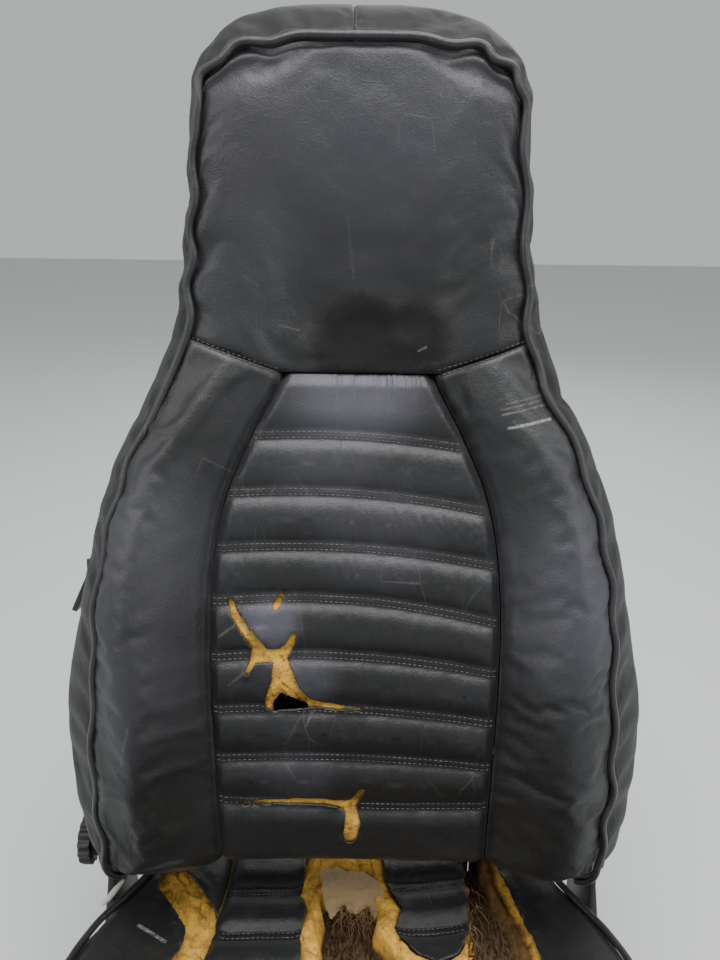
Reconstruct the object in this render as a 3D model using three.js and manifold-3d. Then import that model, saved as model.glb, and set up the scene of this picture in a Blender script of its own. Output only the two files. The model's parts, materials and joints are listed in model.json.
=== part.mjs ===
// A reclining sports car seat: one-piece backrest with its headrest, cushion, recliner, tip-forward
// latch and slide rails. Millimetres. +Z is up, the seat faces -Y, +X is the sitter's left.
// x = 0 is the seat's centre plane and z = 0 the floor under the rails.
// "out" is a distance from the centre plane, "s" runs up the backrest from the hinge and "t" runs
// forward out of the backrest's own plane. On the cushion "d" runs forward from the hinge.
import * as THREE from "three";
import { mergeVertices } from "three/addons/utils/BufferGeometryUtils.js";
import Module from "manifold-3d";

const wasm = await Module();
wasm.setup();

// ---- driving sizes ----
const GAP = 0.3; // between pieces that touch
const SKIN = 4; // covers, with their scrim
const SKIN_GAP = 2.6; // between a cover and its foam, whose facets differ
const PIPING_R = 3;
const PIPING_ROOM = PIPING_R + 1; // from the piping's centre line to a panel's edge

const RECLINE = 14 * (Math.PI / 180); // the back's lean at rest
const PIVOT_Y = 146;
const PIVOT_Z = 200;

const BACK_BOTTOM = 40;
const BACK_CORNER = 670; // where the headrest's top corners start
const BACK_TOP = 742; // of the front piping
const CROWN = 788; // of the boxing above it
const SHELL_BOTTOM = 10;
const FOAM_BACK = 6; // foam stops here, in front of the frame
const DIAGONAL_IN = 480; // seam between bolster and headrest, at the insert
const DIAGONAL_OUT = 508; // and at the piping

const CUSHION_REAR = -20;
const CUSHION_FRONT = 496;
const CUSHION_FLOOR = 102; // height of the foam's underside
const SKIRT_FLOOR = 101;

const RAIL_OUT = 222; // rail centre line
const RAIL_LENGTH = 420;
const RAIL_WIDTH = 36;
const RAIL_HEIGHT = 24;
const RAIL_WALL = 3;
const SIDE_IN = 209; // cushion frame's side members
const SIDE_OUT = 239;
const SIDE_LOW = 42;
const SIDE_TOP = 78;
const WALL = 3;

const SHAFT_R = 7; // recline shaft, on the hinge line
const PLATE_OUT = 222; // backrest side plate, then hook, arm and bracket going outward
const PLATE = 3;
const HOOK_OUT = 227;
const HOOK = 4;
const ARM_OUT = 233;
const ARM = 5;
const BRACKET_OUT = SIDE_OUT + GAP;
const BRACKET = 6;
const HOUSING_OUT = BRACKET_OUT + BRACKET + GAP;
const HOUSING = 9;
const KNOB_OUT = HOUSING_OUT + HOUSING + GAP;
const KNOB_END = 278;
const KNOB_R = 26;
const KNOB_RIM = 12;
const KNOB_LOBES = 14;
const LATCH_PIN = { s: 66, t: 16, r: 5 };
const LATCH_AXIS = { s: 100, t: -3, r: 4 };
const ROD = { out: 220, t: -23, r: 2.5 };
const LEVER = { out: 255, s: 292, t: 0, length: 52, tilt: 24 * (Math.PI / 180) };

// ---- profiles along the seat: [station, value] ----
const along = (stations) => (q) => {
  const last = stations.length - 1;
  if (q <= stations[0][0]) return stations[0][1];
  if (q >= stations[last][0]) return stations[last][1];
  const i = stations.findIndex(([at]) => at > q) - 1;
  const slope = (k) => {
    const a = stations[Math.max(k - 1, 0)];
    const b = stations[Math.min(k + 1, last)];
    return (b[1] - a[1]) / (b[0] - a[0]);
  };
  const [q0, v0] = stations[i];
  const [q1, v1] = stations[i + 1];
  const h = q1 - q0;
  const f = (q - q0) / h;
  const hermite = v0 * (1 + 2 * f) * (1 - f) ** 2 + v1 * f * f * (3 - 2 * f);
  return hermite + h * f * (1 - f) * (slope(i) * (1 - f) - slope(i + 1) * f);
};
const mix = (a, b, f) => a + (b - a) * f;

const pipingHalf = along([
  [40, 222], [120, 227], [220, 222], [300, 217], [380, 199],
  [430, 179], [480, 154], [510, 144], [580, 138], [670, 131],
]);
const boxingHalf = along([
  [40, 254], [75, 262], [150, 268], [195, 266], [265, 251], [335, 236],
  [380, 223], [430, 201], [465, 183], [510, 164], [560, 152], [670, 142],
]);
const insertHalf = along([
  [40, 124], [230, 128], [285, 127], [330, 123], [376, 113], [426, 92], [480, 66], [560, 60], [740, 60],
]);
const centreDepth = along([
  [40, 80], [150, 92], [230, 96], [330, 88], [430, 80], [490, 78], [560, 82], [640, 98], [740, 112],
]);
const seamDepth = along([
  [40, 84], [150, 98], [230, 104], [330, 97], [430, 88], [490, 82], [560, 86], [640, 101], [740, 113],
]);
const pipingDepth = along([
  [40, 104], [150, 118], [250, 121], [350, 114], [430, 105], [500, 96], [580, 100], [670, 110], [740, 114],
]);
const bolsterRise = along([[40, 14], [150, 26], [300, 26], [430, 15], [510, 5], [560, 3], [740, 1]]);
const shellDepth = along([[0, -45], [200, -50], [450, -46], [600, -32], [760, -10]]);

// Depth of the backrest's front surface at a distance out and a height up the back.
function front(out, s) {
  const seam = insertHalf(s);
  const a = Math.abs(out);
  if (a <= seam) return mix(centreDepth(s), seamDepth(s), (a / seam) ** 2);
  const f = Math.min((a - seam) / (pipingHalf(s) - seam), 1);
  return mix(seamDepth(s), pipingDepth(s), f) + bolsterRise(s) * Math.sin(Math.PI * f ** 1.2);
}

// A point of the backrest's outline: v = 0 at the lower corner, 1 at the top's centre.
const CORNER_AT = 0.76;
const CORNER_POWER = 0.62;
function outline(v, half, top) {
  if (v <= CORNER_AT) {
    const s = mix(BACK_BOTTOM, BACK_CORNER, v / CORNER_AT);
    return { out: half(s), s };
  }
  const a = ((v - CORNER_AT) / (1 - CORNER_AT)) * (Math.PI / 2);
  const out = half(BACK_CORNER) * Math.max(Math.cos(a), 0) ** CORNER_POWER;
  return { out, s: mix(BACK_CORNER, top, Math.sin(a) ** CORNER_POWER) };
}

// The cushion's profiles, stretched with its length.
const alongCushion = (stations) => along(stations.map(([d, value]) => [(d * CUSHION_FRONT) / 496, value]));
const cushionHalf = alongCushion([
  [10, 206], [40, 223], [60, 234], [80, 244], [114, 256], [200, 262], [350, 262], [430, 256],
]);
const cushionSeam = alongCushion([[10, 127], [60, 133], [100, 137], [200, 140], [500, 140]]);
const cushionCentre = alongCushion([[50, 150], [150, 158], [300, 178], [430, 192], [496, 186]]);
const cushionEdge = alongCushion([[50, 168], [125, 175], [180, 198], [300, 216], [430, 226], [496, 206]]);
const cushionRise = alongCushion([[50, 4], [125, 5], [180, 14], [400, 16], [496, 4]]);

// Height of the cushion's top surface.
function cushionTop(out, d) {
  const seam = cushionSeam(d);
  const a = Math.abs(out);
  if (a <= seam) return cushionCentre(d) + 8 * (a / seam) ** 2;
  const f = Math.min((a - seam) / (cushionHalf(d) - seam), 1);
  return mix(cushionCentre(d) + 8, cushionEdge(d), f) + cushionRise(d) * Math.sin(Math.PI * f);
}

// Half width with the front corners rounded, drawn in by an inset from the rim.
const FRONT_ROUND = 66;
const ROUND_POWER = 3.3;
const ROUND_START = CUSHION_FRONT - FRONT_ROUND;
function cushionWidth(d, inset = 0) {
  const into = Math.max(d - ROUND_START, 0) / (FRONT_ROUND - inset);
  return (cushionHalf(d) - inset) * Math.max(1 - into ** ROUND_POWER, 0) ** (1 / ROUND_POWER);
}

// ---- making solids ----
const at = (out, s, t) => new THREE.Vector3(out, -t, s);

function solid(geometry) {
  const g = geometry.clone();
  g.deleteAttribute("normal");
  g.deleteAttribute("uv");
  const merged = mergeVertices(g, 1e-3);
  const index = new Uint32Array(merged.index.array);
  const mesh = new wasm.Mesh({
    numProp: 3,
    vertProperties: merged.attributes.position.array,
    triVerts: index,
  });
  return new wasm.Manifold(mesh);
}

function geometryOf(body) {
  const m = body.getMesh();
  const g = new THREE.BufferGeometry();
  g.setAttribute("position", new THREE.BufferAttribute(new Float32Array(m.vertProperties), 3));
  g.setIndex(new THREE.BufferAttribute(new Uint32Array(m.triVerts), 1));
  g.computeVertexNormals();
  return g;
}

const join = (...parts) => geometryOf(parts.map(solid).reduce((a, b) => a.add(b)));
const cut = (body, ...tools) => geometryOf(tools.map(solid).reduce((a, b) => a.subtract(b), solid(body)));

// A box whose corners run over 0..1 in three ways, each vertex put where shape(u, v, w) says.
function shaped(nu, nv, nw, shape) {
  const g = new THREE.BoxGeometry(1, 1, 1, nu, nw, nv);
  const p = g.attributes.position;
  for (let i = 0; i < p.count; i++) {
    const to = shape(p.getX(i) + 0.5, p.getZ(i) + 0.5, p.getY(i) + 0.5);
    p.setXYZ(i, to.x, to.y, to.z);
  }
  return solid(g).volume() < 0 ? flipped(g) : g;
}

// A distance out from -1..1, with a row of corners along the insert's seam.
function spread(side, seam, edge) {
  const a = Math.abs(side);
  return Math.sign(side) * (a <= 0.5 ? seam * a * 2 : mix(seam, edge, a * 2 - 1));
}

function flipped(geometry) {
  const g = geometry.clone();
  const index = g.index.array;
  for (let i = 0; i < index.length; i += 3) [index[i + 1], index[i + 2]] = [index[i + 2], index[i + 1]];
  return g;
}

function block(x0, x1, y0, y1, z0, z1) {
  return new THREE.BoxGeometry(x1 - x0, y1 - y0, z1 - z0)
    .translate((x0 + x1) / 2, (y0 + y1) / 2, (z0 + z1) / 2);
}

function rodX(x0, x1, y, z, r, sides = 16, r2 = r) {
  return new THREE.CylinderGeometry(r2, r, x1 - x0, sides)
    .rotateZ(-Math.PI / 2).translate((x0 + x1) / 2, y, z);
}

// A flat shape drawn in (y, z), made into a plate from x0 to x0 + thickness.
function plate(shape, x0, thickness, bends = 8) {
  const turn = new THREE.Matrix4().makeBasis(
    new THREE.Vector3(0, 1, 0), new THREE.Vector3(0, 0, 1), new THREE.Vector3(1, 0, 0),
  );
  return new THREE.ExtrudeGeometry(shape, { depth: thickness, bevelEnabled: false, curveSegments: bends })
    .applyMatrix4(turn).translate(x0, 0, 0);
}

// The outline of a strap round two circles, in (y, z).
function strap(a, ra, b, rb) {
  const toward = Math.atan2(b.z - a.z, b.y - a.y);
  const open = Math.acos((ra - rb) / Math.hypot(b.z - a.z, b.y - a.y));
  const shape = new THREE.Shape();
  shape.absarc(a.y, a.z, ra, toward + open, toward - open + 2 * Math.PI, false);
  shape.absarc(b.y, b.z, rb, toward - open, toward + open, false);
  shape.closePath();
  return shape;
}

function hole(shape, y, z, r) {
  const path = new THREE.Path();
  path.absarc(y, z, r, 0, 2 * Math.PI, true);
  shape.holes.push(path);
  return shape;
}

function tube(points, r, sides, steps, straight = false) {
  const path = new THREE.CatmullRomCurve3(points, false, "centripetal");
  const ring = new THREE.Shape();
  for (let i = 0; i < sides; i++) {
    const a = (i / sides) * 2 * Math.PI;
    ring[i ? "lineTo" : "moveTo"](r * Math.cos(a), r * Math.sin(a));
  }
  ring.closePath();
  const route = straight ? straightPath(points) : path;
  return new THREE.ExtrudeGeometry(ring, { steps, extrudePath: route, bevelEnabled: false });
}

function straightPath(points) {
  const path = new THREE.CurvePath();
  points.slice(1).forEach((p, i) => path.add(new THREE.LineCurve3(points[i], p)));
  return path;
}

// The +x piece and its mirror image on the -x side.
const SIDES = [["left", 1], ["right", -1]];
function mirrored(geometry, side) {
  return side > 0 ? geometry : flipped(indexed(geometry).scale(-1, 1, 1));
}
function indexed(geometry) {
  const g = geometry.clone();
  g.deleteAttribute("normal");
  g.deleteAttribute("uv");
  return mergeVertices(g, 1e-3);
}

// ---- finishes ----
const finish = (color, roughness, metalness = 0) => ({ color, roughness, metalness });
const LEATHER = finish(0x151517, 0.5);
const STEEL = finish(0x2b2b2d, 0.5, 0.7);
const ZINC = finish(0x8f9196, 0.4, 0.9);
const FOAM = finish(0xbe9132, 0.95);
const COIR = finish(0x4a3422, 0.95);
const PLASTIC = finish(0x0e0e0f, 0.45);
const PIPING = finish(0x19191b, 0.5);

const seat = new THREE.Group();
seat.name = "sports_seat";
const back = new THREE.Group();
back.name = "back_frame";
back.position.set(0, PIVOT_Y, PIVOT_Z);
back.rotation.x = -RECLINE;
seat.add(back);

function add(group, name, geometry, look) {
  const mesh = new THREE.Mesh(geometry, new THREE.MeshStandardMaterial(look));
  mesh.name = name;
  group.add(mesh);
}

// ---- floor rails ----
const RAIL_Y0 = -RAIL_LENGTH / 2 - 20;
const RAIL_Y1 = RAIL_Y0 + RAIL_LENGTH;
const LIP = 9;
const TAB = 34; // mounting tab beyond each end of a rail

for (const [name, side] of SIDES) {
  const x0 = RAIL_OUT - RAIL_WIDTH / 2;
  const x1 = RAIL_OUT + RAIL_WIDTH / 2;
  const channel = cut(
    join(
      block(x0, x1, RAIL_Y0, RAIL_Y1, 0, RAIL_HEIGHT),
      block(x0 + 4, x1 - 4, RAIL_Y0 - TAB, RAIL_Y1 + TAB, 0, 4),
    ),
    block(x0 + RAIL_WALL, x1 - RAIL_WALL, RAIL_Y0 - 1, RAIL_Y1 + 1, 4, RAIL_HEIGHT - RAIL_WALL),
    block(x0 + LIP, x1 - LIP, RAIL_Y0 - 1, RAIL_Y1 + 1, 10, RAIL_HEIGHT + 1),
  );
  add(seat, "rail_lower_" + name, mirrored(channel, side), ZINC);
  const runner = join(
    block(x0 + 4.5, x1 - 4.5, RAIL_Y0 + 20, RAIL_Y1 - 20, 12.5, 19),
    block(x0 + LIP + 1.5, x1 - LIP - 1.5, RAIL_Y0 + 20, RAIL_Y1 - 20, 18, 28),
    block(x0 + 2, x1 - 2, RAIL_Y0 + 20, RAIL_Y1 - 20, 27, SIDE_LOW - GAP),
  );
  add(seat, "rail_upper_" + name, mirrored(runner, side), STEEL);
  for (const [end, y] of [["front", RAIL_Y0 - TAB / 2], ["rear", RAIL_Y1 + TAB / 2]]) {
    const head = new THREE.CylinderGeometry(9, 9, 7, 6).rotateX(Math.PI / 2);
    add(seat, "floor_bolt_" + end + "_" + name, head.translate(side * RAIL_OUT, y, 4 + GAP + 3.5), ZINC);
  }
}
const TIE_HALF = RAIL_OUT - RAIL_WIDTH / 2 - GAP;
add(seat, "rail_tie", block(-TIE_HALF, TIE_HALF, RAIL_Y0 + 14, RAIL_Y0 + 44, 0, 8), STEEL);

// ---- cushion frame ----
const MEMBER_Y0 = PIVOT_Y - CUSHION_FRONT + 36;
const MEMBER_Y1 = PIVOT_Y + 46;
for (const [name, side] of SIDES) {
  const member = cut(
    block(SIDE_IN, SIDE_OUT, MEMBER_Y0, MEMBER_Y1, SIDE_LOW, SIDE_TOP),
    block(SIDE_IN + WALL, SIDE_OUT - WALL, MEMBER_Y0 + WALL, MEMBER_Y1 - WALL, SIDE_LOW - 1, SIDE_TOP - WALL),
  );
  add(seat, "base_side_" + name, mirrored(member, side), STEEL);
}
const FRONT_BAR_Y = MEMBER_Y0 + 18;
const REAR_BAR_Y = PIVOT_Y - 50;
for (const [name, y] of [["front", FRONT_BAR_Y], ["rear", REAR_BAR_Y]]) {
  const bar = rodX(-SIDE_IN + GAP, SIDE_IN - GAP, y, 66, 11, 12);
  add(seat, "base_cross_" + name, bar, STEEL);
}
const SPRING_R = 2;
const SPRING_Z = 66 + 11 + SPRING_R + GAP;
const SPRING_BENDS = 9;
function zigzag(place) {
  const points = [];
  for (let i = 0; i <= SPRING_BENDS; i++) {
    const wide = i === 0 || i === SPRING_BENDS ? 0 : i % 2 ? 1 : -1;
    points.push(place(i / SPRING_BENDS, wide));
  }
  return tube(points, SPRING_R, 5, SPRING_BENDS * 2, false);
}
[-110, 0, 110].forEach((x, i) => {
  const wire = zigzag((f, wide) => new THREE.Vector3(x + 22 * wide, mix(FRONT_BAR_Y, REAR_BAR_Y, f), SPRING_Z));
  add(seat, "cushion_spring_" + (i + 1), wire, STEEL);
});
const COIR_FLOOR = SPRING_Z + SPRING_R + 0.5;
const coir = block(
  -200, 200, PIVOT_Y - CUSHION_FRONT + 40, PIVOT_Y - 16, COIR_FLOOR, CUSHION_FLOOR - GAP,
);
add(seat, "coir_pad", coir, COIR);

// ---- cushion: foam, covers, skirt and piping ----
const onCushion = (out, d, z) => new THREE.Vector3(out, PIVOT_Y - d, z);
const UNDER = SKIN + SKIN_GAP;
const cushionFoam = shaped(12, 12, 2, (u, v, w) => {
  const inset = UNDER + PIPING_ROOM;
  const d = mix(CUSHION_REAR + 2, CUSHION_FRONT - inset - 2, v);
  const edge = cushionWidth(d, inset);
  const out = spread(2 * u - 1, Math.min(cushionSeam(d), edge * 0.6), edge);
  const under = UNDER + 4 + 6 * (Math.max(d - 380, 0) / 116) ** 2;
  return onCushion(out, d, mix(CUSHION_FLOOR, cushionTop(out, d) - under, w));
});
add(seat, "cushion_foam", cushionFoam, FOAM);

function cushionPanel(nu, nv, inner, outer) {
  return shaped(nu, nv, 1, (u, v, w) => {
    const d = mix(CUSHION_REAR, CUSHION_FRONT - PIPING_ROOM - 2, v);
    const out = mix(inner(d), outer(d), u);
    return onCushion(out, d, cushionTop(out, d) - SKIN * (1 - w));
  });
}
const SEAM = 0.5; // half the gap between two panels at a seam
add(seat, "cushion_insert_cover",
  cushionPanel(6, 10, (d) => -cushionSeam(d) + SEAM, (d) => cushionSeam(d) - SEAM), LEATHER);
for (const [name, side] of SIDES) {
  const panel = cushionPanel(5, 12, (d) => cushionSeam(d) + SEAM, (d) => cushionWidth(d, PIPING_ROOM + 1.5));
  add(seat, "cushion_bolster_" + name, mirrored(panel, side), LEATHER);
}

// The cushion's edge: v = 0 at the left rear corner, 1 at the right rear corner.
function cushionRim(v, grow) {
  const side = v < 0.5 ? 1 : -1;
  const f = 1 - Math.abs(2 * v - 1); // 0 at the rear, 1 at the front's centre
  const SIDE_PART = 0.62;
  if (f <= SIDE_PART) {
    const d = mix(CUSHION_REAR, ROUND_START, f / SIDE_PART);
    return { out: side * (cushionHalf(d) + grow), d };
  }
  const a = ((f - SIDE_PART) / (1 - SIDE_PART)) * (Math.PI / 2);
  const across = Math.max(Math.cos(a), 0) ** (2 / ROUND_POWER);
  const ahead = Math.sin(a) ** (2 / ROUND_POWER);
  return { out: side * (cushionHalf(ROUND_START) + grow) * across, d: ROUND_START + (FRONT_ROUND + grow) * ahead };
}
const rimHeight = (p) => cushionTop(p.out, p.d);
const skirt = shaped(30, 2, 1, (u, v, w) => {
  const p = cushionRim(u, mix(-SKIN, 0, w) + 3 * Math.sin(Math.PI * v));
  return onCushion(p.out, p.d, mix(SKIRT_FLOOR, rimHeight(cushionRim(u, -2)) - 2 * PIPING_R - 1, v));
});
add(seat, "cushion_skirt", skirt, LEATHER);
const rimPoints = [];
for (let i = 0; i <= 30; i++) {
  const p = cushionRim(0.004 + (i / 30) * 0.992, 2);
  rimPoints.push(onCushion(p.out, p.d, rimHeight(p) - 1));
}
add(seat, "cushion_piping", tube(rimPoints, PIPING_R, 6, 34), PIPING);

// ---- hinge: brackets, housing and trim on the cushion frame ----
const pivot = { y: PIVOT_Y, z: PIVOT_Z };
for (const [name, side] of SIDES) {
  const shape = new THREE.Shape();
  const start = Math.PI * 1.02;
  shape.moveTo(PIVOT_Y - 58, SIDE_LOW + 2);
  shape.lineTo(PIVOT_Y + 44, SIDE_LOW + 2);
  shape.lineTo(PIVOT_Y + 40, SIDE_TOP + 16);
  shape.absarc(PIVOT_Y, PIVOT_Z, 29, 0.02 * Math.PI, start, false);
  shape.lineTo(PIVOT_Y - 52, SIDE_TOP + 16);
  shape.closePath();
  hole(shape, PIVOT_Y, PIVOT_Z, SHAFT_R + 0.4);
  add(seat, "hinge_bracket_" + name, mirrored(plate(shape, BRACKET_OUT, BRACKET, 10), side), STEEL);
}
const housing = new THREE.Shape();
housing.absarc(PIVOT_Y, PIVOT_Z, 27, 0, 2 * Math.PI, false);
hole(housing, PIVOT_Y, PIVOT_Z, 9.6);
add(seat, "recliner_housing", mirrored(plate(housing, HOUSING_OUT, HOUSING, 10), -1), STEEL);
const cap = new THREE.Shape();
cap.absarc(PIVOT_Y, PIVOT_Z, 24, 0, 2 * Math.PI, false);
add(seat, "hinge_cap", plate(cap, HOUSING_OUT, 9, 10), PLASTIC);
for (const [name, side] of SIDES) {
  const trim = strap({ y: PIVOT_Y + 6, z: 146 }, 20, { y: PIVOT_Y - 14, z: 104 }, 28);
  add(seat, "hinge_trim_" + name, mirrored(plate(trim, HOUSING_OUT, 8, 6), side), PLASTIC);
}

// ---- recliner: knob, shaft and the two arms ----
const knobShape = new THREE.Shape();
for (let i = 0; i < KNOB_LOBES * 4; i++) {
  const a = (i / (KNOB_LOBES * 4)) * 2 * Math.PI;
  const r = KNOB_R - 1.6 + 1.6 * Math.cos(KNOB_LOBES * a);
  knobShape[i ? "lineTo" : "moveTo"](PIVOT_Y + r * Math.cos(a), PIVOT_Z + r * Math.sin(a));
}
knobShape.closePath();
const knob = join(
  plate(knobShape, -KNOB_END, KNOB_RIM),
  rodX(-KNOB_END + KNOB_RIM - 1, -KNOB_OUT, PIVOT_Y, PIVOT_Z, 20, 24, 13),
  rodX(-KNOB_OUT - 1, -HOUSING_OUT - 1, PIVOT_Y, PIVOT_Z, 9, 16),
);
add(seat, "recliner_knob", knob, PLASTIC);

const SHAFT_END = BRACKET_OUT + BRACKET;
add(back, "recline_shaft", rodX(-SHAFT_END, SHAFT_END, 0, 0, SHAFT_R, 16), ZINC);
for (const [name, side] of SIDES) {
  const arm = strap({ y: 0, z: 0 }, 24, { y: -LATCH_PIN.t, z: LATCH_PIN.s }, 14);
  hole(arm, 0, 0, SHAFT_R + GAP);
  const pin = rodX(HOOK_OUT - 1, ARM_OUT + 2, -LATCH_PIN.t, LATCH_PIN.s, LATCH_PIN.r, 12);
  add(back, "recliner_arm_" + name, mirrored(join(plate(arm, ARM_OUT, ARM), pin), side), STEEL);
}

// ---- backrest frame ----
const TUBE_R = 10;
const TUBE_T = -20;
const tubeDepth = (s) => Math.max(TUBE_T, shellDepth(s) + TUBE_R + 10);
const foamBack = (s) => Math.max(FOAM_BACK, tubeDepth(s) + TUBE_R + 2.5);
for (const [name, side] of SIDES) {
  const route = [[204, 36], [205, 160], [195, 300], [172, 400], [132, 480], [104, 560], [96, 690]];
  const upright = tube(route.map(([out, s]) => at(out, s, tubeDepth(s))), TUBE_R, 8, 14);
  add(back, "frame_upright_" + name, mirrored(upright, side), STEEL);
  const cheek = strap({ y: 0, z: 0 }, 20, { y: 18, z: 190 }, 14);
  hole(cheek, 0, 0, SHAFT_R + 0.4);
  hole(cheek, -LATCH_AXIS.t, LATCH_AXIS.s, LATCH_AXIS.r + 0.4);
  add(back, "frame_cheek_" + name, mirrored(plate(cheek, PLATE_OUT + 0.6, PLATE, 6), side), STEEL);
}
const BAR_R = 8;
const bars = [["lower", 60, 196, TUBE_T], ["upper", 640, 98, tubeDepth(640)]];
for (const [name, s, out, t] of bars) {
  const half = out - TUBE_R - 2.5;
  add(back, "frame_cross_" + name, rodX(-half, half, -t, s, BAR_R, 10), STEEL);
}
[180, 320].forEach((s, i) => {
  const half = s > 300 ? 172 : 180;
  const wire = zigzag((f, wide) => at(mix(-half, half, f), s + 20 * wide, TUBE_T + TUBE_R + SPRING_R + 3));
  add(back, "back_spring_" + (i + 1), wire, STEEL);
});

// ---- backrest foam, covers, boxing, piping and shell ----
const backFoam = shaped(12, 18, 3, (u, v, w) => {
  const rise = Math.min(v / CORNER_AT, 1);
  const a = (Math.max(v - CORNER_AT, 0) / (1 - CORNER_AT)) * (Math.PI / 2) * 0.8;
  const side = 2 * u - 1;
  const low = mix(BACK_BOTTOM + 6, BACK_CORNER - 6, rise);
  const top = (BACK_TOP - BACK_CORNER - 4) * (1 - 0.42 * Math.abs(side) ** 6);
  const s = low + top * Math.sin(a) / Math.sin(0.4 * Math.PI);
  const edge = pipingHalf(s) - UNDER - 1;
  const waist = boxingHalf(s) - UNDER - 8;
  const wide = w > 0.9 ? edge : mix(waist - 6, waist, Math.min(w * 2, 1)) - Math.max(w - 0.5, 0) * (waist - edge);
  const seam = insertHalf(s);
  const ahead = front(spread(side, seam, edge), s) - UNDER;
  return at(spread(side, seam, wide), s, mix(foamBack(s), ahead, w));
});
const POCKET = { in: 216, out: 256, s: 132, t: 44 }; // room round each hinge
const pocket = (side) => mirrored(block(POCKET.in, POCKET.out + 40, -POCKET.t, 80, -40, POCKET.s), side);
add(back, "backrest_foam", cut(backFoam, pocket(1), pocket(-1)), FOAM);

function backPanel(nu, nv, inner, outer, bottom, top) {
  return shaped(nu, nv, 1, (u, v, w) => {
    const s = mix(bottom(u), top(u), v);
    const out = mix(inner(s), outer(s), u);
    return at(out, s, front(out, s) - SKIN * (1 - w));
  });
}
add(back, "insert_cover", backPanel(8, 12,
  (s) => -insertHalf(s) + SEAM, (s) => insertHalf(s) - SEAM,
  () => BACK_BOTTOM, () => DIAGONAL_IN - SEAM), LEATHER);
for (const [name, side] of SIDES) {
  const panel = backPanel(6, 14,
    (s) => insertHalf(s) + SEAM, (s) => pipingHalf(s) - PIPING_ROOM,
    () => BACK_BOTTOM, (u) => mix(DIAGONAL_IN, DIAGONAL_OUT, u) - SEAM);
  add(back, "bolster_cover_" + name, mirrored(panel, side), LEATHER);
}
const headrest = shaped(14, 10, 1, (u, v, w) => {
  const side = 2 * u - 1;
  const out0 = side * (pipingHalf(DIAGONAL_OUT) - PIPING_ROOM);
  const along = Math.max(Math.abs(out0) - insertHalf(DIAGONAL_IN), 0);
  const slope = (DIAGONAL_OUT - DIAGONAL_IN) / (pipingHalf(DIAGONAL_OUT) - insertHalf(DIAGONAL_IN));
  const low = DIAGONAL_IN + along * slope + 2;
  const high = BACK_CORNER + (BACK_TOP - PIPING_ROOM - BACK_CORNER) * (1 - Math.abs(side) ** 3.2) ** (1 / 3.2);
  const s = mix(low, high, v);
  const out = side * (pipingHalf(s) - PIPING_ROOM);
  return at(out, s, front(out, s) - SKIN * (1 - w));
});
add(back, "headrest_cover", headrest, LEATHER);

// The boxing runs from the piping round the side to the shell; u = 0 at the piping, 1 at the shell.
function boxingAt(u, v) {
  const a = outline(v, (s) => pipingHalf(s) + PIPING_ROOM, BACK_TOP + PIPING_ROOM);
  const b = outline(v, boxingHalf, CROWN);
  const c = outline(v, (s) => boxingHalf(s) - 12, CROWN - 16);
  const points = [at(a.out, a.s, pipingDepth(a.s) - 3), at(b.out, b.s, 45), at(c.out, c.s, -26)];
  const weights = [2 * (u - 0.5) * (u - 1), 4 * u * (1 - u), 2 * u * (u - 0.5)];
  return points.reduce((sum, p, i) => sum.addScaledVector(p, weights[i]), new THREE.Vector3());
}
function boxingSkin(u, v, depth) {
  const e = 0.004;
  const du = boxingAt(Math.min(u + e, 1), v).sub(boxingAt(Math.max(u - e, 0), v));
  const dv = boxingAt(u, Math.min(v + e, 1)).sub(boxingAt(u, Math.max(v - e, 0)));
  const inward = du.cross(dv).normalize();
  return boxingAt(u, v).addScaledVector(inward, depth);
}
const probe = boxingSkin(0.5, 0.3, 1).x < boxingAt(0.5, 0.3).x ? 1 : -1;
const boxing = shaped(5, 26, 1, (u, v, w) => {
  const p = boxingSkin(u, v, probe * SKIN * (1 - w));
  if (v > 0.999) p.x = SEAM;
  return p;
});
// The lever's base is let into the right-hand boxing and leans with it.
const BASE = { out: LEVER.out - 11, s: LEVER.s - 8, tall: 46, wide: 30, thick: 7, lean: 13 * (Math.PI / 180) };
const leverBase = (room) => new THREE.BoxGeometry(BASE.thick + 2 * room, BASE.wide + 2 * room, BASE.tall + 2 * room)
  .rotateY(-BASE.lean).translate(BASE.out, 0, BASE.s);
add(back, "boxing_left", boxing, LEATHER);
const leverGap = block(LEVER.out - 40, LEVER.out, -7, 30, LEVER.s - 14, LEVER.s + 6);
add(back, "boxing_right", cut(mirrored(boxing, -1), mirrored(join(leverBase(0.6), leverGap), -1)), LEATHER);

const pipingPoints = [];
for (let i = -24; i <= 24; i++) {
  const p = outline(1 - Math.abs(i) / 24, pipingHalf, BACK_TOP);
  pipingPoints.push(at(Math.sign(i) * p.out, p.s, pipingDepth(p.s) - 0.5));
}
add(back, "backrest_piping", tube(pipingPoints, PIPING_R, 6, 56), PIPING);

const SHELL = 3.5;
const shell = shaped(12, 14, 1, (u, v, w) => {
  const side = 2 * u - 1;
  const top = CROWN - (CROWN - BACK_CORNER) * (0.187 + 0.39 * Math.abs(side) ** 5);
  const s = mix(SHELL_BOTTOM, top, v);
  const out = side * (boxingHalf(Math.max(s, BACK_BOTTOM)) - 17);
  return at(out, s, shellDepth(s) + 15 * side ** 4 + SHELL * w);
});
const shellPocket = (side) => mirrored(block(POCKET.in, POCKET.out + 40, -10, 80, -40, 88), side);
add(back, "backrest_shell", cut(shell, shellPocket(1), shellPocket(-1)), LEATHER);

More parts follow.
